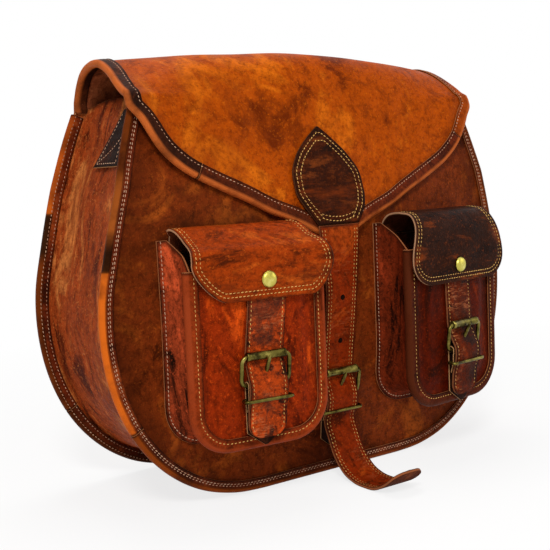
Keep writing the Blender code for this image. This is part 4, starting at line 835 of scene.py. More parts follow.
class Nodes:
    """Short calls for building one node tree."""

    def __init__(self, owner):
        owner.use_nodes = True
        self.owner = owner
        self.tree = owner.node_tree
        self.shader = self.tree.nodes.get("Principled BSDF")
        self.spot = self.add("TexCoord").outputs["Object"]

    def add(self, kind, sockets=None, **settings):
        """A new node with its settings, and its sockets linked or set."""
        made = self.tree.nodes.new("ShaderNode" + kind)
        for name, value in settings.items():
            setattr(made, name, value)
        self.fill(made, sockets or {})
        return made

    def fill(self, node, sockets):
        for key, value in sockets.items():
            if isinstance(value, bpy.types.NodeSocket):
                self.tree.links.new(value, node.inputs[key])
            else:
                node.inputs[key].default_value = value

    def stretched(self, scale, turn=(0.0, 0.0, 0.0)):
        return self.add("Mapping", {"Vector": self.spot, "Rotation": turn, "Scale": scale}).outputs[0]

    def noise(self, scale, detail=3.0, rough=0.55, where=None, warp=0.0):
        sockets = {"Vector": where or self.spot, "Scale": scale, "Detail": detail, "Roughness": rough}
        return self.add("TexNoise", {**sockets, "Distortion": warp}).outputs["Fac"]

    def ramp(self, value, stops, smooth=True):
        made = self.add("ValToRGB", {"Fac": value})
        made.color_ramp.interpolation = "EASE" if smooth else "LINEAR"
        elements = made.color_ramp.elements
        while len(elements) < len(stops):
            elements.new(0.5)
        for element, (place, colour) in zip(elements, stops):
            element.position = place
            element.color = (*((colour,) * 3 if isinstance(colour, float) else colour), 1.0)
        return made.outputs["Color"]

    def mix(self, share, first, second, mode="MIX"):
        first, second = ((*value, 1.0) if isinstance(value, tuple) else value for value in (first, second))
        return self.add("Mix", {0: share, 6: first, 7: second}, data_type="RGBA", blend_type=mode).outputs[2]

    def math(self, kind, first, second, clamp=False):
        return self.add("Math", {0: first, 1: second}, operation=kind, use_clamp=clamp).outputs[0]

    def attribute(self, name):
        return self.add("Attribute", attribute_name=name).outputs["Fac"]

    def range(self, value, low, high, start=0.0, end=1.0):
        return self.add("MapRange", {0: value, 1: low, 2: high, 3: start, 4: end}).outputs[0]

    def bump(self, layers):
        """Stack (height, distance) bumps, the last on top."""
        normal = {}
        for height, distance in layers:
            made = self.add("Bump", {"Strength": 1.0, "Distance": distance, "Height": height, **normal})
            normal = {"Normal": made.outputs["Normal"]}
        self.fill(self.shader, normal)


def leather(name, dark, base, light, edge=None, rim=(0.50, 0.17, 0.06), fold=None, size=24.0,
            streak=(1, 1, 1), shift=0.5, grain=0.00012, crease=0.00026, scratch=None, rough=(0.42, 0.62),
            edge_width=0.004, patches=None, zones=None):
    """Waxed, hand-tinted leather: cloudy colour, pores, creases, darkened edges and a pale cut rim."""
    made = Nodes(bpy.data.materials.new(name))
    noise, ramp, mix = made.noise, made.ramp, made.mix
    place = made.stretched(streak)
    cloud = noise(size, 6.0, 0.66, place, 0.8)
    stops = [(shift - 0.13, dark), (shift - 0.02, base), (shift + 0.03, base), (shift + 0.15, light)]
    colour = ramp(cloud, stops)
    fine = noise(size * 7.0, 5.0, 0.74, made.stretched(tuple(s ** 0.5 for s in streak)), 0.4)
    colour = mix(ramp(fine, [(0.40, 0.0), (0.70, 0.62)]), colour, dark)
    colour = mix(ramp(noise(330.0, 5.0, 0.8), [(0.47, 0.0), (0.66, SPECKLE)]), colour, dark)
    colour = mix(ramp(noise(560.0, 3.0, 0.7), [(0.54, 0.0), (0.74, SPECKLE)]), colour, light)
    if patches is not None:
        tint, low, high = patches
        colour = mix(ramp(noise(size * 0.42, 7.0, 0.7, place, 0.5), [(low, 0.0), (high, 0.8)]), colour, tint)
    if scratch is not None:
        lines = noise(1.0, 4.0, 0.65, made.stretched((90.0, 90.0, 520.0), (0.12, 0.2, 0.0)), 1.4)
        marks = ramp(lines, [(0.52, 0.0), (0.6, 1.0), (0.66, 0.0)], False)
        where = ramp(noise(46.0, 2.0), [(0.46, 0.0), (0.66, 0.6)])
        colour = mix(made.math("MULTIPLY", marks, where), colour, scratch)
    if fold is not None:
        rolled = made.range(made.attribute("fold"), FOLD_WIDTH, FOLD_WIDTH * 0.45)
        worn = made.math("MULTIPLY", rolled, ramp(noise(38.0, 4.0, 0.6), [(0.3, 0.3), (0.55, 1.0)]), True)
        colour = mix(worn, colour, fold)
    if edge is not None:
        near = made.range(made.attribute("edge"), edge_width, 0.0)
        near = made.math("MULTIPLY", near, ramp(noise(60.0, 3.0), [(0.2, 0.35), (0.6, 0.95)]), True)
        colour = mix(near, colour, edge)
    if zones is not None:
        height = made.add("SeparateXYZ", {0: made.spot}).outputs[2]
        tints = ramp(made.range(height, 0.0, ZONE_TOP), [(z / ZONE_TOP, tint) for z, tint in zones], False)
        rolled = made.range(made.attribute("fold"), FOLD_WIDTH * 1.1, FOLD_WIDTH * 0.8)
        colour = mix(rolled, colour, tints, "MULTIPLY")
    cut = made.range(made.attribute("rim"), 0.45, 0.9)
    colour = mix(made.math("MULTIPLY", cut, 0.75), colour, rim)
    sheen = made.range(noise(size * 3.0, 4.0, 0.65), 0.3, 0.7, *rough)
    made.fill(made.shader,
              {"Base Color": colour, "Roughness": sheen, "Specular IOR Level": GLOSS, "Specular Tint": WARM})
    cells = made.add("TexVoronoi", {"Vector": made.spot, "Scale": 1050.0}).outputs["Distance"]
    pores = made.math("SUBTRACT", cells, noise(1500.0, 2.0))
    made.bump([(noise(42.0, 3.0, 0.5), crease * 3.5), (noise(150.0, 6.0, 0.74, None, 0.9), crease),
               (pores, grain)])
    return made.owner


def thread(name, pale, deep):
    made = Nodes(bpy.data.materials.new(name))
    tint = made.ramp(made.noise(260.0, 2.0), [(0.3, deep), (0.62, pale)])
    made.fill(made.shader, {"Base Color": tint, "Roughness": 0.75})
    twist = made.stretched((1.0, 1.0, 1.0), (0.6, 0.3, 0.8))
    made.bump([(made.noise(2600.0, 1.0, 0.5, twist), 0.00012)])
    return made.owner


def brass(name, dark, base, bright):
    """Antique brass: dark olive in the hollows, rubbed bright on the high spots."""
    made = Nodes(bpy.data.materials.new(name))
    colour = made.ramp(made.noise(90.0, 5.0, 0.65), [(0.34, dark), (0.5, base), (0.72, bright)])
    shine = made.range(made.noise(210.0, 3.0), 0.3, 0.7, 0.24, 0.48)
    made.fill(made.shader, {"Base Color": colour, "Metallic": 1.0, "Roughness": shine})
    made.bump([(made.noise(420.0, 4.0, 0.6), 0.00009)])
    return made.owner


# Body

SEGMENTS = {}
INSETS = {}
OUTLINE = body_outline()
BODY = Outline(OUTLINE)
PANEL_EDGE = BINDING_THICKNESS + SEAM_GAP + EDGE_SHY
BACK_MIDDLE = BODY_DEPTH + SEAM_GAP / 2 + PANEL_THICKNESS / 2
FLANGE_SEAT = SEAM_GAP / 2 + GUSSET_THICKNESS / 2
BINDING_HALF_GAP = SEAM_GAP / 2 + PANEL_THICKNESS + BINDING_GAP + BINDING_THICKNESS / 2
SEAM_ROWS = (0.0050, 0.0063)
INNER_ROWS = (0.0026, 0.0066)
HEM_ROW = (0.006,)
FRONT_COLUMNS = 88
BACK_COLUMNS = 72
# Rows each side of the fold that are smoothed, and how often
FOLD_SMOOTH_ROWS = 5
FOLD_SMOOTH_ROUNDS = 10
# Points down a folded strip's leg and round its roll, whose size is a share of the gap
BINDING_LEG_POINTS = 15
BINDING_ROLL_TURNS = 10
BINDING_ROLL = 0.95
BINDING_ROLL_REACH = 0.94
TAB_POINTS = 19
TAB_SEAM_POINTS = 12
FLAP_BEND = ("bag", "flap", (0.0, BODY_DEPTH * 0.91, MOUTH_HEIGHT), (0.0, BODY_DEPTH * 0.65, MOUTH_HEIGHT))

HIDE_DARK, HIDE, HIDE_LIGHT = (0.040, 0.0062, 0.0014), (0.185, 0.0275, 0.0040), (0.38, 0.075, 0.008)
TAN_DARK, TAN, TAN_LIGHT = (0.125, 0.0150, 0.0004), (0.40, 0.060, 0.0012), (0.60, 0.125, 0.004)
RED_DARK, RED, RED_LIGHT = (0.060, 0.0070, 0.0020), (0.34, 0.052, 0.009), (0.66, 0.200, 0.045)
DARK, DARKER, WORN = (0.030, 0.006, 0.0025), (0.0095, 0.003, 0.0017), (0.62, 0.125, 0.010)
LINING = leather("suede_lining", (0.035, 0.008, 0.003), (0.10, 0.020, 0.007), (0.20, 0.05, 0.015),
                 grain=0.0002, rough=(0.7, 0.9))
CREAM = thread("cream_thread", (0.60, 0.36, 0.22), (0.34, 0.13, 0.06))
GOLD = thread("gold_thread", (0.70, 0.40, 0.10), (0.40, 0.17, 0.035))
PINK = thread("faded_thread", (0.42, 0.14, 0.07), (0.22, 0.05, 0.02))
BRASS = brass("antique_brass", (0.024, 0.018, 0.004), (0.135, 0.108, 0.022), (0.38, 0.31, 0.075))
STUD_BRASS = brass("stud_brass", (0.22, 0.18, 0.03), (0.52, 0.44, 0.08), (0.80, 0.72, 0.22))
CHAPE_LOOK = leather("chape_hide", DARKER, (0.026, 0.0075, 0.004), (0.075, 0.020, 0.008), edge=DARKER,
                     size=50.0, rim=(0.66, 0.34, 0.14))


def panel_grid(inset, top, columns, step, place):
    """Rows of points up a panel whose edge is the body outline moved in by inset."""
    points = [BODY.moved(length, inset) for length in even(BODY.length / 2, BODY.length, step)]
    flat = max(p.x for p in body_outline(inset) if p.x > 0 and p.y < inset + SMALLEST_STEP)
    low, high = inset + step / 4, top - step / 3
    rows = [(flat, inset)] + [(p.x, p.y) for p in points if p.x > flat and low < p.y < high]
    rows.append((side_half_width(top, inset), top))
    return [[place((2 * k / columns - 1) * half, z) for k in range(columns + 1)] for half, z in rows]


def make_front():
    grid = panel_grid(PANEL_EDGE, FRONT_TOP_HEIGHT, FRONT_COLUMNS, GRID_STEP * 1.2,
                      lambda x, z: (x, front_mid(x, z), z))
    look = leather("front_hide", HIDE_DARK, HIDE, HIDE_LIGHT, edge=HIDE_DARK, edge_width=0.03, size=20.0,
                   shift=0.49, patches=((0.050, 0.011, 0.0030), 0.50, 0.70))
    shell("front_hide", grid, PANEL_THICKNESS, [look, LINING], "bag", ["front_panel"], ripple=0.0007,
          seed=3.0)


def back_flap_middle(x, length):
    """Middle surface of the one sheet that is the back and the flap: below 0 it is the back."""
    if length < 0:
        z = MOUTH_HEIGHT + FLAP_BACK_GAP + length
        return Vector((x, BACK_MIDDLE - seam_y(z, BACK_LEAN), z))
    return FLAP.surface(x, length)


def smooth_rows(grid, low, high, rounds):
    for _ in range(rounds):
        middle = grid[low:high].copy()
        grid[low:high] = (grid[low - 1:high - 1] + 2 * middle + grid[low + 1:high + 1]) / 4


def make_back_flap():
    columns = BACK_COLUMNS
    base = MOUTH_HEIGHT + FLAP_BACK_GAP
    lower = panel_grid(PANEL_EDGE, base - GRID_STEP, columns, GRID_STEP * 1.6,
                       lambda x, z: back_flap_middle(x, z - base))
    upper = []
    for length in even(0.0, FLAP.outline.length, GRID_STEP):
        point = FLAP.outline.moved(length, PANEL_EDGE)
        if point.x > SMALLEST_STEP * 8:
            half, along = point.x, max(point.y, 0.0)
            upper.append([FLAP.surface((2 * k / columns - 1) * half, along) for k in range(columns + 1)])
    grid = np.array([[tuple(p) for p in row] for row in lower + upper])
    knee = len(lower)
    smooth_rows(grid, knee - FOLD_SMOOTH_ROWS, knee + FOLD_SMOOTH_ROWS + 1, FOLD_SMOOTH_ROUNDS)
    look = leather("flap_hide", TAN_DARK, TAN, TAN_LIGHT, edge=(0.15, 0.022, 0.003), edge_width=0.018,
                   size=16.0, shift=0.49, patches=((0.20, 0.030, 0.003), 0.53, 0.74), rough=(0.40, 0.6))
    # The flap's inner face: a lighter copy of the suede lining, painted light on that shaded face.
    lining = leather("flap_lining", (0.10, 0.020, 0.007), (0.34, 0.078, 0.026), (0.50, 0.14, 0.05),
                     rough=(0.7, 0.9))
    shell("back_and_flap_hide", grid, FLAP_THICKNESS, [look, lining], FLAP_BEND, ["back_panel", "flap_panel"],
          sign=-1, ripple=0.0009, ripple_size=0.045, seed=7.0)


def gusset_section():
    """(inset, depth) points across the gusset: flange, soft bend, web, bend and flange."""
    first = PANEL_EDGE
    bend = GUSSET_BEND
    web_low, web_high = FLANGE_SEAT + bend, BODY_DEPTH - FLANGE_SEAT - bend
    section = [(first + (FLANGE_WIDTH - bend - first) * k / 3, FLANGE_SEAT) for k in range(4)]
    for k in (1, 2):
        angle = k * math.pi / 6
        section.append((FLANGE_WIDTH - bend + bend * math.sin(angle),
                        FLANGE_SEAT + bend * (1 - math.cos(angle))))
    web = [(gusset_depth(y), y) for y in even(web_low, web_high, GRID_STEP * 1.3)]
    return section + web + [(inset, BODY_DEPTH - y) for inset, y in reversed(section)]


def make_gusset():
    trim = length_below(GUSSET_TOP)
    lengths = even(trim, BODY.length - trim, GRID_STEP * 1.15)
    section = gusset_section()
    grid = []
    for length in lengths:
        share = (length - BODY.length / 2) / (BODY.length / 2 - trim)
        row = []
        for inset, y in section:
            reach = length + math.copysign(gusset_rise(y), share) * share ** 4
            wave = GUSSET_WAVE * math.sin(reach * GUSSET_WAVES_ALONG + y * GUSSET_WAVES_IN_DEPTH)
            wave *= math.sin(math.pi * min(max(y / BODY_DEPTH, 0), 1))
            row.append(tuple(place_in_depth(BODY.moved(reach, inset + max(wave, -GUSSET_WAVE_IN)), y)))
        grid.append(row)
    look = leather("gusset_hide", RED_DARK, RED, RED_LIGHT, size=19.0, streak=(1.0, 2.4, 0.62), shift=0.5,
                   patches=((0.16, 0.024, 0.006), 0.50, 0.66), edge=DARK, rim=(0.66, 0.36, 0.15),
                   crease=0.00060)
    shell("gusset_hide", grid, GUSSET_THICKNESS, [look, LINING], "bag", ["gusset"], ripple=0.0013,
          ripple_size=0.026, seed=11.0)


def strip_section(front_leg, back_leg, half_gap, front_rows, back_rows):
    """(inset, across, fold distance) points round a folded strip, its seams drawn down by the thread."""
    roll = half_gap * BINDING_ROLL
    points = []
    for inset in np.linspace(front_leg, roll, BINDING_LEG_POINTS):
        points.append((inset, half_gap - groove_at(inset, front_rows), inset))
    for k in range(1, BINDING_ROLL_TURNS):
        angle = math.pi * k / BINDING_ROLL_TURNS
        points.append((roll - roll * BINDING_ROLL_REACH * math.sin(angle), half_gap * math.cos(angle), 0.0))
    for inset in np.linspace(roll, back_leg, BINDING_LEG_POINTS):
        points.append((inset, -half_gap + groove_at(inset, back_rows), inset))
    return points


def strip(name, outline, lengths, legs, rows, half_gap, place, look, carrier, nodes, sign=1, slot=None):
    """A folded strip along an outline. rows gives the insets of the seams on its front and back legs."""
    section = strip_section(*legs, half_gap, *rows)
    grid = [[tuple(place(outline.moved(length, inset + BINDING_THICKNESS / 2), across))
             for inset, across, _ in section] for length in lengths]
    fold = [[reach for _, _, reach in section]] * len(lengths)
    return shell(name, grid, BINDING_THICKNESS, [look], carrier, nodes, sign=sign, fold=fold, slot=slot)


def seams_on(outline, lengths, insets, across, place):
    """Stitch paths along an outline at these insets, on the side where across points."""
    facing = math.copysign(1.0, across)
    lift = across + facing * (BINDING_THICKNESS / 2 - GROOVE_DEPTH)
    ahead = across + facing * NORMAL_REACH
    paths = []
    for inset in insets:
        spots = [outline.moved(length, inset) for length in lengths]
        paths.append([(place(p, lift), place(p, ahead) - place(p, lift)) for p in spots])
    return paths


BINDING_LOOKS = {}
BINDING_COLOURS = {
    "maroon": (DARK, (0.085, 0.0140, 0.004), (0.19, 0.034, 0.008)),
    "orange": ((0.055, 0.0085, 0.002), (0.17, 0.027, 0.004), (0.34, 0.070, 0.010)),
    "black": (DARKER, (0.030, 0.0075, 0.0035), (0.085, 0.019, 0.006)),
    "red": ((0.03, 0.005, 0.002), (0.13, 0.018, 0.0045), (0.26, 0.045, 0.009)),
    "tan": ((0.10, 0.013, 0.001), (0.30, 0.045, 0.002), (0.48, 0.095, 0.006)),
}
# (height, tint) up each length of the body's edge, which was dyed in patches; on the front left, the lighter
# stretch from 0.182 to 0.206 is a painted highlight on the roll
ZONES = {
    "front_left": [
        (0.0, (1.0, 0.9, 0.8)), (0.1545, (1.0, 1.0, 1.0)), (0.156, (0.06, 0.08, 0.2)),
        (0.168, (0.06, 0.08, 0.2)), (0.182, (0.50, 0.58, 1.1)), (0.206, (0.42, 0.48, 0.9)),
        # 0.182 to 0.206: lighter tan tint, a painted highlight on the rolled edge
        (0.216, (0.18, 0.18, 0.3)), (0.255, (0.22, 0.20, 0.3)),
    ],
    "back_left": [
        (0.0, (0.16, 0.16, 0.25)), (0.155, (0.22, 0.2, 0.3)), (0.164, (0.05, 0.07, 0.2)),
        (0.1885, (0.05, 0.07, 0.2)), (0.190, (0.75, 0.7, 0.7)), (0.226, (0.7, 0.6, 0.7)),
        (0.234, (0.34, 0.3, 0.4)), (0.25, (0.7, 0.6, 0.7)),
    ],
    "right": [(0.0, (0.42, 0.48, 0.6)), (0.1, (0.26, 0.30, 0.4)), (0.25, (0.22, 0.26, 0.4))],
    "bottom": [(0.0, (0.35, 0.32, 0.4)), (0.25, (0.35, 0.32, 0.4))],
    "back_bottom": [(0.0, (0.10, 0.10, 0.2)), (0.25, (0.10, 0.10, 0.2))],
}


def binding_look(kind, zone=None, fold=WORN):
    if (kind, zone) not in BINDING_LOOKS:
        BINDING_LOOKS[kind, zone] = leather(
            f"binding_{kind}_{zone or 'plain'}", *BINDING_COLOURS[kind], edge=DARKER, edge_width=0.0014,
            fold=fold, size=34.0, streak=(1.0, 1.0, 0.6), zones=ZONES.get(zone))
    return BINDING_LOOKS[kind, zone]


def length_below(top):
    """Length along the body's outline at which it first comes below this height."""
    return next(length for length in even(0.0, BODY.length, FINE_STEP) if BODY.at(length).y <= top)


def make_body_bindings():
    trim = length_below(BINDING_TOP)
    room = BODY.length - 2 * trim
    joins = [trim + room * share for share in (0.0, BINDING_JOIN_SHARE, 1 - BINDING_JOIN_SHARE, 1.0)]
    looks = {"front": (("red", "front_left"), ("maroon", "bottom"), ("orange", "right")),
             "back": (("red", "back_left"), ("maroon", "back_bottom"), ("orange", "right"))}
    for side, y, facing, inner in (("front", 0.0, -1, INNER_ROWS[:1]), ("back", BODY_DEPTH, 1, INNER_ROWS)):
        def place(point, across, y=y, facing=facing):
            return place_in_depth(point, y + facing * across)

        for k, part in enumerate(("left", "bottom", "right")):
            node = f"{side}_binding_{part}"
            lengths = even(joins[k] + (SEAM_GAP / 2 if k else 0.0),
                           joins[k + 1] - (SEAM_GAP / 2 if k < 2 else 0.0), GRID_STEP)
            strip(f"{side}_edge_{part}", BODY, lengths, (BINDING_FRONT_LEG, BINDING_LEG),
                  (SEAM_ROWS, INNER_ROWS), BINDING_HALF_GAP, place, binding_look(*looks[side][k]), "bag",
                  [node], sign=facing)
            rows = seams_on(BODY, lengths, SEAM_ROWS, BINDING_HALF_GAP, place)
            rows += seams_on(BODY, lengths, inner, -BINDING_HALF_GAP, place)
            stitches(f"{side}_edge_thread_{part}", rows, CREAM, "bag", node)


def make_hem():
    half_gap = PANEL_THICKNESS / 2 + 2 * SEAM_GAP + BINDING_THICKNESS / 2
    top = FRONT_TOP_HEIGHT + SEAM_GAP + BINDING_THICKNESS + EDGE_SHY
    reach = side_half_width(FRONT_TOP_HEIGHT, PANEL_EDGE) * (1 - 2 / HEM_COLUMNS)
    edge = Outline([Vector((reach * (1 - 2 * k / 60), top)) for k in range(61)])

    def place(point, across):
        return Vector((point.x, front_mid(point.x, min(point.y, FRONT_TOP_HEIGHT)) - across, point.y))

    lengths = even(0.0, edge.length, GRID_STEP * 1.3)
    strip("mouth_hem", edge, lengths, (HEM_DEPTH, HEM_DEPTH), (HEM_ROW, HEM_ROW), half_gap, place,
          binding_look("maroon"), "bag", ["front_hem"], sign=-1)
    rows = [row for gap in (half_gap, -half_gap) for row in seams_on(edge, lengths, HEM_ROW, gap, place)]
    stitches("mouth_hem_thread", rows, CREAM, "bag", "front_hem")


def make_tabs():
    clear = GUSSET_THICKNESS / 2 + 2 * CONTACT_GAP + TAB_THICKNESS / 2
    look = leather("tab_hide", (0.004, 0.001, 0.0006), (0.011, 0.0032, 0.0018), (0.045, 0.012, 0.005),
                   edge=DARKER, size=60.0, rim=(0.62, 0.30, 0.12))
    for side, word in ((-1, "left"), (1, "right")):
        def middle(u, v, lift=0.0, side=side):
            z = TAB_BOTTOM_HEIGHT + (TAB_TOP_HEIGHT - TAB_BOTTOM_HEIGHT) * v
            y = TAB_FRONT_START + u * (TAB_BOTTOM_WIDTH + (TAB_TOP_WIDTH - TAB_BOTTOM_WIDTH) * v)
            return place_in_depth(Vector((side * (side_half_width(z, gusset_depth(y) - clear) + lift), z)), y)

        shares = np.linspace(0, 1, TAB_POINTS)
        grid = [[tuple(middle(u, v)) for u in shares] for v in shares]
        shell(f"tab_{word}", grid, TAB_THICKNESS, [look], "bag", [f"side_tab_{word}"], sign=-side)
        rows = [[(middle(*Vector(start).lerp(Vector(end), t), TAB_THICKNESS / 2), Vector((side, 0, 0)))
                 for t in np.linspace(0, 1, TAB_SEAM_POINTS)] for start, end in TAB_SEAMS]
        stitches(f"tab_thread_{word}", rows, CREAM, "bag", f"side_tab_{word}")


# Flap edge, leaf and centre strap

FLAP_ROLL_LEG = 0.0100
FLAP_ROW = (0.0084,)
FLAP_INNER_ROW = (0.0050,)
FLAP_EDGE_RUN = 0.0075
FLAP_EDGE_MERGE = 0.004
LEAF_ROWS = (0.0028, 0.0062)
LEAF_FOOT_ROWS = (0.0022, 0.0050)
LEAF_FOOT_HALF = 0.0145
LEAF_FOOT_DIP = 0.0035
LEAF_FOOT_DIP_HALF = 0.017
FLAP_EDGE_STEP = 0.0018
EDGE_WORN = (0.47, 0.105, 0.020)
STRAP_COLUMNS = 8
STRAP_SEAM_COLUMNS = (-0.0011, -0.0005, 0.0, 0.0005, 0.0011)
FLAP_TURN_LEFT = 0.615
FLAP_TURN_RIGHT = 0.50


def flap_pattern(side):
    """place(pattern point, across) for the flap's edge; below 0 the edge runs on down the back."""
    def place(point, across):
        x = side * max(point.x, SEAM_GAP / 2 + BINDING_THICKNESS / 2)
        if point.y < FLAP_EDGE_MERGE:
            step = FLAP_EDGE_MERGE / 2
            across -= FLAP_EDGE_STEP * smooth_step(-point.y / FLAP_EDGE_RUN) * (across < 0)
            middle = back_flap_middle(x, point.y)
            run = back_flap_middle(x, point.y + step) - back_flap_middle(x, point.y - step)
            share = smooth_step((point.y + FLAP_EDGE_MERGE) / (2 * FLAP_EDGE_MERGE))
            flat = middle - Vector((1, 0, 0)).cross(run).normalized() * across
            return flat.lerp(FLAP.bent(x, max(point.y, FINE_STEP), across), share if point.y > 0.0 else 0.0)
        return FLAP.bent(x, point.y, across)
    return place


def make_flap_edges():
    half_gap = FLAP_THICKNESS / 2 + FLAP_BINDING_GAP + BINDING_THICKNESS / 2
    outline = FLAP.outline
    lengths = [-FLAP_EDGE_RUN, -FLAP_EDGE_MERGE, -FLAP_EDGE_MERGE / 4]
    lengths += even(FLAP_EDGE_MERGE / 2, outline.length - SEAM_GAP, GRID_STEP)
    for side, word, turn_share, kinds in ((-1, "left", FLAP_TURN_LEFT, ("black", "maroon")),
                                          (1, "right", FLAP_TURN_RIGHT, ("tan", "red"))):
        node = f"flap_binding_{word}"
        place = flap_pattern(side)
        turn = outline.length * turn_share
        upper = [s for s in lengths if s < turn - SEAM_GAP] + [turn - SEAM_GAP / 3]
        lower = [turn + SEAM_GAP / 3] + [s for s in lengths if s > turn + SEAM_GAP]
        for k, (kind, part) in enumerate(zip(kinds, (upper, lower))):
            made = strip(f"flap_edge_{word}_{k + 1}", outline, part, (FLAP_ROLL_LEG, BINDING_LEG),
                         (FLAP_ROW, ()), half_gap, place, binding_look(kind, "flap", EDGE_WORN), FLAP_BEND,
                         (), side, "flap_panel" if k else node)
            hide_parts(node)
        for row, gap, look, kind in ((FLAP_ROW, half_gap, CREAM, "edge"),
                                     (FLAP_INNER_ROW, -half_gap, PINK, "inside")):
            stitches(f"flap_{kind}_thread_{word}", seams_on(outline, lengths, row, gap, place), look,
                     FLAP_BEND, node)


def make_leaf():
    top, bottom = FLAP.length_at(LEAF_TOP_HEIGHT), FLAP.length_at(LEAF_BOTTOM_HEIGHT)
    width = monotone([(share, half * LEAF_HALF_WIDTH) for share, half in LEAF_WIDTH_SHARES])

    def middle(x, s):
        return FLAP.bent(x - leaf_slip(s, top, bottom), s, leaf_lift(FLAP, s))

    grid = [[tuple(middle(u * width(v), top + (bottom - top) * v)) for u in np.linspace(-1, 1, 25)]
            for v in np.linspace(0, 1, 44)]
    look = leather("leaf_hide", DARKER, (0.036, 0.0062, 0.0016), (0.15, 0.030, 0.005), edge=DARKER, size=30.0,
                   streak=(0.6, 1.0, 2.4), rim=(0.10, 0.035, 0.015), crease=0.0004,
                   patches=((0.180, 0.028, 0.004), 0.48, 0.64))
    shell("leaf_hide", grid, STRAP_THICKNESS, [look], "flap", ["leaf"], sign=-1)
    half = [Vector((width(v), top + (bottom - top) * v)) for v in np.linspace(0, 1, 80)]
    line = Outline([Vector((-p.x, p.y)) for p in reversed(half)] + half)
    paths = []
    for inset in LEAF_ROWS:
        path = [line.moved(length, inset) for length in even(0.0, line.length, THREAD_STEP)]
        path = [p for p in path if top + inset * 1.6 < p.y < bottom - 0.002]
        paths.append([p for p in path if p.x < 0] + [p for p in path if p.x >= 0])
    for rise in LEAF_FOOT_ROWS:
        paths.append([(x, bottom - rise - LEAF_FOOT_DIP * (x / LEAF_FOOT_DIP_HALF) ** 2)
                      for x in np.linspace(-LEAF_FOOT_HALF, LEAF_FOOT_HALF, 24)])
    place = surface_place(middle, -1)
    stitches("leaf_thread", [seam_path(place, path, STRAP_THICKNESS / 2) for path in paths], GOLD, "flap",
             "leaf")


def strap_columns(half, rows):
    """Shares across a strap, closer together at its seams."""
    spots = set(np.linspace(0, 1, STRAP_COLUMNS))
    for row in rows:
        spots |= {1 - (row + d) / half for d in STRAP_SEAM_COLUMNS}
    spots = sorted(s for s in spots if 0 <= s <= 1)
    return [-s for s in reversed(spots) if s > 0] + spots


def banner(half_width, lengths):
    """Outline of a flat piece down its left side and back up its right one."""
    left = [Vector((-half_width(s), s)) for s in lengths]
    return Outline(left + [Vector((-p.x, p.y)) for p in reversed(left)])


def make_strap(name, points, place, look, carrier, node, rows_at=(0.0024,), start=0.0, flare=0.0):
    """A strap along (out, z) points with rows of stitches by each edge that meet round its end."""
    route = smooth_line(points)
    half = STRAP_WIDTH / 2
    straight = route.length - STRAP_END_CORNER
    lengths = even(0.0, straight, GRID_STEP * 0.6)
    lengths += [route.length - STRAP_END_CORNER * (1 - math.sin(a))
                for a in np.linspace(0, math.pi / 2, 10)[1:]]

    def width(length):
        past = max(length - straight, 0.0)
        wide = half - STRAP_END_CORNER + math.sqrt(max(STRAP_END_CORNER ** 2 - past * past, 0.0))
        return wide + flare * (1 - smooth_step(length / STRAP_FLARE_RUN))

    def middle(x, length):
        return place(x, *route.at(length))

    columns = strap_columns(half, rows_at)
    grid = [[tuple(middle(u * width(length), length)) for u in columns] for length in lengths]
    groove = [[groove_at((1 - abs(u)) * width(length), rows_at) - STRAP_CROWN * (1 - u * u) for u in columns]
              for length in lengths]
    shell(name, grid, STRAP_THICKNESS, look, carrier, [node], sign=-1, groove=groove)
    outline = banner(width, lengths)
    lift = surface_place(middle, -1)
    rows = []
    for row in rows_at:
        path = [outline.moved(length, -row) for length in even(0.0, outline.length, THREAD_STEP)]
        rows.append(seam_path(lift, [p for p in path if p.y > start], STRAP_THICKNESS / 2 - GROOVE_DEPTH))
    stitches(name + "_thread", rows, GOLD, carrier, node)
    return route, lift


def eyelet(name, spot, out, look, carrier, slot):
    """A punched hole seen from outside: a shallow cup with a pressed lip, whose near-black look is painted
    shade in the hole.
    """
    profile = [(STRAP_HOLE_RADIUS * share, height) for share, height in EYELET_PROFILE]
    matrix = Matrix.Translation(spot) @ out.to_track_quat("Z", "Y").to_matrix().to_4x4()
    lathe(name, profile, matrix, look, carrier, slot, sides=18)


def make_chape(buckle):
    heel, fold = buckle.heel, buckle.fold
    back = CONTACT_GAP + CHAPE_THICKNESS / 2
    points = [(back, -CHAPE_TIP_DROP), (back, -CHAPE_TIP_DROP * 0.5), (back, -fold * 1.6)]
    points += [(heel + fold * math.cos(a), fold * math.sin(a))
               for a in np.radians(range(180, -30, -30)).tolist()]
    points += [(buckle.upper + CONTACT_GAP / 3, buckle.keeper_z * 0.6), (buckle.upper, buckle.keeper_z)]
    points += [(back + CHAPE_THICKNESS + CONTACT_GAP * 2, -CHAPE_UPPER_DROP)]
    route = smooth_line(points, 6)
    slot_half = PRONG_RADIUS + PRONG_SLOT_GAP
    reach = FRAME_WIRE_RADIUS + CONTACT_GAP + 2 * PRONG_LOOP_WIRE + PRONG_SLOT_GAP
    lengths = even(0.0, route.length, CHAPE_STEP)
    around = [k for k, length in enumerate(lengths) if route.at(length).y > -reach and k > 2]
    first, last = around[0], around[-1]
    node = f"chape_{buckle.word}"
    for name, part, side, columns in (("tip", lengths[:first + 1], 0, 16),
                                      ("left", lengths[first:last + 1], -1, 7),
                                      ("right", lengths[first:last + 1], 1, 7),
                                      ("tail", lengths[last:], 0, 16)):
        grid = []
        for length in part:
            wide = CHAPE_TIP_SHARE + (1 - CHAPE_TIP_SHARE) * min(length / CHAPE_POINT, 1.0)
            wide *= CHAPE_WIDTH / 2
            low = slot_half if side > 0 else -wide
            high = -slot_half if side < 0 else wide
            grid.append([tuple(buckle.point(x, *route.at(length)))
                         for x in np.linspace(low, high, columns + 1)])
        shell(f"{node}_{name}", grid, CHAPE_THICKNESS, [CHAPE_LOOK], "bag", [node], sign=-1)


# Pockets

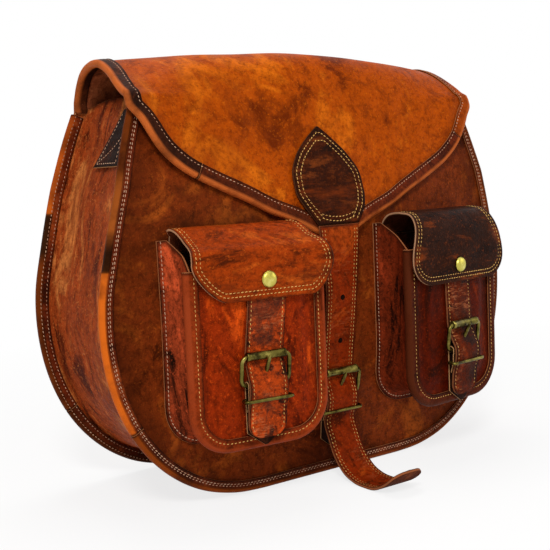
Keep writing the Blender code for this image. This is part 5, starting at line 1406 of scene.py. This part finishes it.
POCKET_FRONT_LEG = 0.0086
POCKET_ROW = (0.0062,)
POCKET_BASE_ROW = 0.0026
POCKET_EDGE_STEP = 0.0024
POCKET_FRONT_COLUMNS = 44
POCKET_FLAP_COLUMNS = 60
POCKET_FLAP_SEAM_START = 0.003
POCKET_GUSSET_ROWS = 96
POCKET_WEB_POINTS = 17
FLAP_ROWS_IN = (0.0030, 0.0056)
# Dark, middle and light of the front and of the flap, then gusset, edge, strap, rolled fold and flap patches
POCKET_COLOURS = {
    "left": (((0.060, 0.0050, 0.0008), (0.27, 0.022, 0.0020), (0.66, 0.074, 0.005)),
             ((0.062, 0.0085, 0.0015), (0.32, 0.037, 0.0025), (0.56, 0.095, 0.008)),
             (0.33, 0.047, 0.0130), (0.24, 0.030, 0.005), (0.40, 0.046, 0.005), (0.27, 0.040, 0.010),
             (0.045, 0.0085, 0.003)),
    # The right pocket is darker than the left partly from darker dye and partly as painted shade.
    "right": (((0.022, 0.0022, 0.0004), (0.080, 0.0055, 0.0006), (0.20, 0.020, 0.002)),
              ((0.008, 0.0022, 0.0012), (0.026, 0.0065, 0.0025), (0.20, 0.036, 0.005)),
              (0.17, 0.0210, 0.005), (0.075, 0.0115, 0.003), (0.090, 0.0100, 0.001), (0.075, 0.015, 0.005),
              (0.014, 0.005, 0.003)),
}


def shaded(colour, share):
    return tuple(share * part for part in colour)


def pocket_looks(word):
    front, flap, gusset, edge, strap, fold, patch = POCKET_COLOURS[word]
    return {
        "front": leather(f"pocket_front_{word}_hide", *front, edge=DARK, edge_width=0.012, size=26.0,
                         streak=(1.6, 1.0, 0.6), rough=(0.36, 0.56)),
        "flap": leather(f"pocket_flap_{word}_hide", *flap, edge=DARK, edge_width=0.002,
                        streak=(0.7, 1.0, 2.2), patches=(patch, 0.50, 0.68), rough=(0.34, 0.54),
                        rim=(0.56, 0.30, 0.16)),
        "gusset": leather(f"pocket_gusset_{word}_hide", DARKER, gusset, shaded(gusset, 2.1), edge=DARKER,
                          size=26.0, streak=(1.0, 1.6, 0.6), crease=0.0005, patches=(DARK, 0.58, 0.80)),
        "edge": leather(f"pocket_edge_{word}_hide", shaded(edge, 0.3), edge, shaded(edge, 1.6), edge=DARKER,
                        edge_width=0.0022, fold=fold, size=34.0),
        "strap": leather(f"pocket_strap_{word}_hide", (0.020, 0.006, 0.004), strap, shaded(strap, 2.0),
                         edge=DARKER, edge_width=0.002, size=44.0, scratch=(0.50, 0.15, 0.055), crease=0.0006,
                         rim=(0.30, 0.10, 0.04), patches=((0.035, 0.012, 0.008), 0.50, 0.62)),
    }


def make_pocket_gusset(pocket, outline, look):
    word = pocket.word
    base = pocket_outline(POCKET_TOP_BACK)
    lift = SEAM_GAP + GUSSET_THICKNESS / 2
    inner = POCKET_FLANGE - GUSSET_BEND
    out = pocket.seam - FLANGE_SEAT

    def web(share, v):
        inset = POCKET_FLANGE + POCKET_FOLD * (1 - abs(2 * share - 1) ** 1.3)
        near = pocket.base(*base.moved(base.length * v, inset), lift + GUSSET_BEND)
        return near.lerp(pocket.front(*outline.moved(outline.length * v, inset), out - GUSSET_BEND), share)

    grid = []
    for v in np.linspace(0, 1, POCKET_GUSSET_ROWS):
        row = [pocket.base(*base.moved(base.length * v, inset), lift) for inset in np.linspace(0.0, inner, 5)]
        row += [web(share, v) for share in np.linspace(0, 1, POCKET_WEB_POINTS)]
        row += [pocket.front(*outline.moved(outline.length * v, inset), out)
                for inset in np.linspace(inner, PANEL_EDGE, 4)]
        grid.append([tuple(p) for p in row])
    node = f"pocket_gusset_{word}"
    shell(node + "_hide", grid, GUSSET_THICKNESS, [look, LINING], "bag", [node], sign=-1, ripple=0.0005,
          ripple_size=0.02, seed=2.0 + pocket.side)
    seam = [base.moved(length, POCKET_BASE_ROW) for length in even(0.0, base.length, THREAD_STEP)]
    seam = seam_path(pocket.base, seam, lift + GUSSET_THICKNESS / 2)
    stitches(f"pocket_base_thread_{word}", [seam], CREAM, "bag", node)


def make_pocket_front(pocket, outline, look):
    flat, bottom = POCKET_HALF_WIDTH - POCKET_CORNER, POCKET_BOTTOM + PANEL_EDGE
    inset = [outline.moved(length, PANEL_EDGE)
             for length in even(outline.length / 2, outline.length, POCKET_STEP)]
    rows = [(flat, bottom)] + [tuple(p) for p in inset if p.x > flat and p.y > bottom]

    def front_at(x, z):
        inside = distance_to(outline.points, x, z) - POCKET_PUFF_START
        puff = POCKET_PUFF * smooth_step(inside / POCKET_PUFF_RUN)
        return pocket.front(x, z, puff - POCKET_PUFF - PANEL_THICKNESS / 2)

    shares = np.linspace(-1, 1, POCKET_FRONT_COLUMNS)
    grid = [[tuple(front_at(u * half, z)) for u in shares] for half, z in rows]
    node = f"pocket_front_{pocket.word}"
    shell(node + "_hide", grid, PANEL_THICKNESS, [look, LINING], "bag", [node], ripple=0.0003,
          ripple_size=0.018, seed=5.0 + pocket.side)


def make_pocket_edge(pocket, outline, look):
    def place(point, across):
        return pocket.front(*point, pocket.seam + across)

    word, node = pocket.word, f"pocket_binding_{pocket.word}"
    lengths = even(0.0, outline.length, POCKET_EDGE_STEP)
    strip(f"pocket_edge_{word}", outline, lengths, (POCKET_FRONT_LEG, POCKET_FLANGE - GUSSET_BEND - SEAM_GAP),
          (POCKET_ROW, ()), BINDING_HALF_GAP, place, look, "bag", [node], sign=-1)
    rows = seams_on(outline, lengths, POCKET_ROW, BINDING_HALF_GAP, place)
    stitches(f"pocket_edge_thread_{word}", rows, GOLD, "bag", node)


def make_pocket_flap(pocket, look):
    word = pocket.word
    flap = PocketFlap(pocket)
    bend = ("bag", f"pocket_flap_{word}",
            *(pocket.front(0.0, POCKET_FLAP_CROWN, -POCKET_FLAP_SPLIT * share) for share in (1.55, 0.45)))
    straight = flap.length - POCKET_FLAP_CORNER
    lengths = even(0.0, straight, POCKET_STEP)
    lengths += [straight + POCKET_FLAP_CORNER * math.sin(a) for a in np.linspace(0, math.pi / 2, 14)[1:]]
    outline = banner(flap.half_width, lengths)
    grid, groove = [], []
    for s in lengths:
        spots = np.linspace(-1, 1, POCKET_FLAP_COLUMNS) * flap.half_width(s)
        grid.append([tuple(flap.surface(x, s)) for x in spots])
        groove.append([groove_at(distance_to(outline.points, x, s), FLAP_ROWS_IN) for x in spots])
    shell(f"pocket_flap_{word}_hide", grid, POCKET_FLAP_THICKNESS, [look, LINING], bend,
          [f"pocket_flap_{word}", f"pocket_welt_{word}"], sign=-1, groove=groove, ripple=0.0004,
          ripple_size=0.02, seed=9.0 + pocket.side)
    rows = []
    for row in FLAP_ROWS_IN:
        path = [outline.moved(length, -row) for length in even(0.0, outline.length, THREAD_STEP)]
        path = [p for p in path if p.y > POCKET_FLAP_SEAM_START]
        rows.append(seam_path(flap.bent, path, POCKET_FLAP_THICKNESS / 2 - GROOVE_DEPTH))
    stitches(f"pocket_flap_thread_{word}", rows, GOLD, bend, f"pocket_flap_{word}")
    return flap


def lathe(name, profile, matrix, look, body, slot, nodes=(), sides=40):
    """A profile of (radius, height) points turned about the matrix's Z axis."""
    points, faces, count = [], [], len(profile)
    for k in range(sides):
        angle = 2 * math.pi * k / sides
        points += [matrix @ Vector((r * math.cos(angle), r * math.sin(angle), h)) for r, h in profile]
        for i in range(count - 1):
            a, b = k * count + i, (k + 1) % sides * count + i
            faces.append((a, b, b + 1, a + 1))
    return settle(add_mesh(name, points, faces, [look], merge=True), body, slot, nodes)


def make_stud(pocket, flap):
    face = flap.over + POCKET_FLAP_THICKNESS / 2 + CONTACT_GAP
    matrix = Matrix.Translation((pocket.stud.x, 0.0, pocket.stud.y)) @ Matrix.Rotation(math.pi / 2, 4, "X")
    low, high = face - CONTACT_GAP * 0.8, face + STUD_RISE
    brim = low + STUD_BRIM
    profile = [(0.0, CONTACT_GAP), (STUD_SHANK_RADIUS, CONTACT_GAP), (STUD_SHANK_RADIUS, low),
               (STUD_RADIUS * 1.02, low), (STUD_RADIUS * 1.08, low + 0.0004), (STUD_RADIUS * 1.04, brim)]
    profile += [(STUD_RADIUS * math.sin(a), brim + (high - brim) * math.cos(a))
                for a in np.linspace(math.pi / 2, 0, 12)[1:]]
    profile[-1] = (0.0, high)
    stud = f"stud_{pocket.word}"
    lathe(f"stud_dome_{pocket.word}", profile, pocket.frame @ matrix, STUD_BRASS,
          f"pocket_flap_{pocket.word}", stud, [stud])


def wire(part, points, radii, cyclic, sides=14):
    """One round metal wire of a buckle along points."""
    spots = np.array([tuple(p) for p in points])
    count = len(spots)
    if cyclic:
        ahead = unit(np.roll(spots, -1, axis=0) - np.roll(spots, 1, axis=0))
    else:
        ahead = unit(np.gradient(spots, axis=0))
    up = np.cross(ahead[0], (0.31, 0.52, 0.79))
    rings = []
    for k in range(count):
        up = up - ahead[k] * up.dot(ahead[k])
        up = up / np.linalg.norm(up)
        side = np.cross(ahead[k], up)
        for turn in range(sides):
            angle = 2 * math.pi * turn / sides
            rings.append(spots[k] + (up * math.cos(angle) + side * math.sin(angle)) * radii[k])
    faces = tube_faces(0, count, sides)
    if cyclic:
        # The last ring is turned to meet the first without a twist
        first, last = np.array(rings[:sides]), np.array(rings[-sides:])
        shift = min(range(sides), key=lambda s: np.linalg.norm(np.roll(last, -s, axis=0) - first))
        ring = [(count - 1) * sides + (turn + shift) % sides for turn in range(sides)]
        faces = faces[:-2] + [(ring[turn], ring[(turn + 1) % sides], (turn + 1) % sides, turn)
                              for turn in range(sides)]
    settle(add_mesh(f"buckle_{part}", rings, faces, [BRASS]), part, part, [part])


def make_buckle(buckle):
    word, heel, roller = buckle.word, buckle.heel, buckle.roller
    loop = [buckle.point(x, heel + (roller - heel) * z / FRAME_LENGTH, z)
            for x, z in fine_loop(FRAME_HALF_WIDTH, 0.0, FRAME_LENGTH, FRAME_CORNER)]
    wire(f"frame_{word}", loop, [FRAME_WIRE_RADIUS] * len(loop), True)
    loop = [buckle.point(x, out, buckle.keeper_z)
            for x, out in fine_loop(KEEPER_HALF_WIDTH, buckle.keeper_back, buckle.keeper_front,
                                    KEEPER_CORNER)]
    wire(f"keeper_{word}", loop, [KEEPER_WIRE_RADIUS] * len(loop), True)
    lean, start, reach = prong_line(buckle)
    points = [buckle.point(0.0, heel + PRONG_RING * math.cos(angle), PRONG_RING * math.sin(angle))
              for angle in np.radians(np.linspace(-50, math.degrees(lean) - 270, 30))]
    radii = [PRONG_LOOP_WIRE] * len(points)
    for share in np.linspace(0.1, 1.0, 24):
        spot = start + reach * share
        points.append(buckle.point(0.0, spot.x, spot.y))
        radii.append(PRONG_RADIUS * float(np.interp(share, PRONG_PLACES, PRONG_SHARES)))
    wire(f"prong_{word}", points, radii, False)
    half, inner = ROLLER_LENGTH / 2, ROLLER_RADIUS - ROLLER_GROOVE
    bore, lip = FRAME_WIRE_RADIUS + ROLLER_BORE_GAP, ROLLER_LIP
    profile = [(bore, half), (ROLLER_RADIUS - lip, half), (ROLLER_RADIUS, half - lip),
               (ROLLER_RADIUS, half * 0.86), (inner, half * 0.84)]
    profile = [(bore, -half)] + profile + [(radius, -place) for radius, place in reversed(profile)]
    matrix = buckle.frame @ Matrix.Translation((0.0, -roller, FRAME_LENGTH))
    matrix = matrix @ Matrix.Rotation(math.pi / 2, 4, "Y")
    part = f"roller_{word}"
    lathe(f"buckle_{part}", profile, matrix, BRASS, part, part, [part])


def fine_loop(half, low, high, corner):
    """A rounded rectangle as evenly spaced (x, place) points, place running from low to high."""
    line = []
    for x, y, first in ((half, high, 0), (-half, high, 90), (-half, low, 180), (half, low, 270)):
        x, y = x - math.copysign(corner, x), y - math.copysign(corner, y - (low + high) / 2)
        for angle in np.radians(np.linspace(first, first + 90, 9)).tolist():
            line.append(Vector((x + corner * math.cos(angle), y + corner * math.sin(angle))))
    path = Outline(line + line[:1])
    return [tuple(path.at(path.length * k / 96)) for k in range(96)]


def make_pocket(side):
    pocket = Pocket(side)
    looks = pocket_looks(pocket.word)
    outline = pocket_outline(POCKET_TOP_FRONT)
    make_pocket_gusset(pocket, outline, looks["gusset"])
    make_pocket_front(pocket, outline, looks["front"])
    make_pocket_edge(pocket, outline, looks["edge"])
    flap = make_pocket_flap(pocket, looks["flap"])
    make_stud(pocket, flap)
    heel = pocket.heel
    buckle = Buckle(pocket.word, pocket.frame @ Matrix.Translation((heel.x, 0.0, heel.y)))
    make_chape(buckle)
    make_buckle(buckle)
    points = [(buckle.under, STRAP_TOP_HEIGHT - heel.y), (buckle.under, FRAME_LENGTH * 2)]
    points += buckle.strap_points()
    points += [(buckle.upper - CHAPE_THICKNESS, -STRAP_END_DROP)]
    make_strap(f"pocket_strap_{pocket.word}_hide", points,
               lambda x, out, z: pocket.strap_spot(buckle, x, out, z), [looks["strap"], LINING],
               f"pocket_flap_{pocket.word}", f"pocket_strap_{pocket.word}")


def make_centre_strap():
    heel_height = CENTRE_ROLLER_HEIGHT - FRAME_LENGTH
    base = front_out(0.0, heel_height) - CENTRE_SEAT_GAP
    rest = Matrix.Translation((0.0, base, heel_height)) @ Matrix.Rotation(CENTRE_BUCKLE_PITCH, 4, "X")
    buckle = Buckle("centre", rest)
    make_chape(buckle)
    make_buckle(buckle)
    top = FLAP.length_at(LEAF_BOTTOM_HEIGHT - SEAM_GAP)
    first = FLAP.bent(0.0, top, leaf_lift(FLAP, top))
    points = [(-first.y, first.z)]
    hang = -first.y + STRAP_HANG
    points += [(hang, first.z - STRAP_FALL * share) for share in (0.2, 0.55)]
    for out, z in buckle.strap_points():
        spot = buckle.point(0.0, out, z)
        points.append((-spot.y, spot.z))
    last_out, last_z = points[-1]
    floor = FLOOR_CLEARANCE + STRAP_THICKNESS / 2
    reach = TAIL_REACH - last_out
    points += [(last_out + reach * a, floor + (last_z - floor) * b) for a, b in TAIL_SHARES]
    points += [(last_out + reach * a, floor + (TAIL_CURL_HEIGHT - floor) * b) for a, b in TAIL_CURL_SHARES]
    look = leather("centre_strap_hide", (0.055, 0.0065, 0.0010), (0.23, 0.0200, 0.0018), (0.40, 0.055, 0.005),
                   edge=DARK, edge_width=0.003, size=30.0, scratch=(0.34, 0.070, 0.020), crease=0.00045,
                   rim=(0.35, 0.11, 0.04))
    route, lift = make_strap("centre_strap_hide", points, lambda x, out, z: Vector((x, -out, z)),
                             [look, LINING], "flap", "centre_strap", (0.0019, 0.0042), 0.002, STRAP_FLARE)
    # The strap holes' near-black look is painted shade: each hole is a closed cup, not an opening.
    hole = leather("hole_dark", (0.004, 0.002, 0.001), (0.008, 0.003, 0.002), (0.012, 0.005, 0.003))
    for k in range(2):
        height = CENTRE_ROLLER_HEIGHT + STRAP_HOLE_FIRST + STRAP_HOLE_PITCH * k
        length = min(even(0.0, route.length, FINE_STEP), key=lambda s: abs(route.at(s).y - height))
        spot = lift(0.0, length, STRAP_THICKNESS / 2 + EYELET_RISE)
        eyelet(f"strap_hole_{k + 1}", spot, lift(0.0, length, 0.01) - lift(0.0, length, 0.0), hole, "flap",
               "centre_strap")


# Stage, lights and camera

WORLD_FILL = 0.34
FLOOR_FADE = (0.24, 0.7)
FLOOR_WHITE = 0.78
FLOOR_COLOUR = (0.92, 0.91, 0.90, 1.0)
FLOOR_HALF_SIZE = 6.0
LAMP_AIM = (0.0, 0.0, 0.14)
# Name, place, power and width of each lamp
LAMPS = (("key", (-0.85, -1.05, 1.25), 19.0, 0.45), ("fill", (1.2, -0.9, 0.7), 3.5, 0.9),
         ("top", (0.1, 0.3, 1.5), 8.0, 0.8))
# The camera fitted to the photo
CAMERA_LENS = 65.4545
CAMERA_SENSOR = 36.0
CAMERA_NEAR = 0.01
CAMERA_RIGHT = (0.80450229, -0.59241854, -0.04261861)
CAMERA_UP = (0.09546037, 0.05814562, 0.99373357)
CAMERA_PLACE = (-0.435364, -0.537038, 0.211319)


def is_seen(made):
    """1 for what the camera sees straight on or mirrored, 0 for light that falls on the bag."""
    rays = made.add("LightPath").outputs
    seen = made.math("MAXIMUM", rays["Is Camera Ray"], rays["Is Glossy Ray"])
    return made.math("MAXIMUM", seen, rays["Is Transmission Ray"])


def make_stage():
    world = bpy.data.worlds.new("studio")
    bpy.context.scene.world = world
    sky = Nodes(world)
    strength = sky.add("Mix", {0: is_seen(sky), 2: WORLD_FILL, 3: 1.0}).outputs[0]
    sky.fill(sky.tree.nodes["Background"], {"Color": (1.0, 1.0, 1.0, 1.0), "Strength": strength})
    made = Nodes(bpy.data.materials.new("pale_floor"))
    made.fill(made.shader, {"Base Color": FLOOR_COLOUR, "Roughness": 0.85, "Specular IOR Level": 0.0})
    away = made.add("VectorMath", {0: made.spot}, operation="LENGTH").outputs["Value"]
    share = made.math("MULTIPLY", made.range(away, *FLOOR_FADE, FLOOR_WHITE, 1.0), is_seen(made))
    white = made.add("Emission").outputs[0]
    blend = made.add("MixShader", {0: share, 1: made.shader.outputs[0], 2: white}).outputs[0]
    made.fill(made.tree.nodes["Material Output"], {"Surface": blend})
    mesh = bpy.data.meshes.new("floor")
    corners = [(x * FLOOR_HALF_SIZE, y * FLOOR_HALF_SIZE, 0) for x, y in ((-1, -1), (1, -1), (1, 1), (-1, 1))]
    mesh.from_pydata(corners, [], [(0, 1, 2, 3)])
    mesh.materials.append(made.owner)
    floor = bpy.data.objects.new("floor", mesh)
    bpy.context.scene.collection.objects.link(floor)


def add_lamp(name, spot, power, size):
    data = bpy.data.lights.new(name, "AREA")
    data.energy = power
    data.shape = "DISK"
    data.size = size
    lamp = bpy.data.objects.new(name, data)
    bpy.context.scene.collection.objects.link(lamp)
    lamp.location = spot
    lamp.rotation_euler = (Vector(LAMP_AIM) - Vector(spot)).to_track_quat("-Z", "Y").to_euler()


def make_camera():
    data = bpy.data.cameras.new("camera")
    data.sensor_width = CAMERA_SENSOR
    data.lens = CAMERA_LENS
    data.clip_start = CAMERA_NEAR
    camera = bpy.data.objects.new("camera", data)
    bpy.context.scene.collection.objects.link(camera)
    right, up = Vector(CAMERA_RIGHT), Vector(CAMERA_UP)
    turn = Matrix((right, up, right.cross(up))).transposed()
    camera.matrix_world = Matrix.Translation(CAMERA_PLACE) @ turn.to_4x4()
    bpy.context.scene.camera = camera


FLAP = Flap()
make_front()
make_back_flap()
make_gusset()
make_body_bindings()
make_hem()
make_tabs()
make_flap_edges()
make_leaf()
make_centre_strap()
for pocket_side in (-1, 1):
    make_pocket(pocket_side)
make_stage()
for lamp_values in LAMPS:
    add_lamp(*lamp_values)
make_camera()
bpy.context.scene.view_settings.view_transform = "Standard"
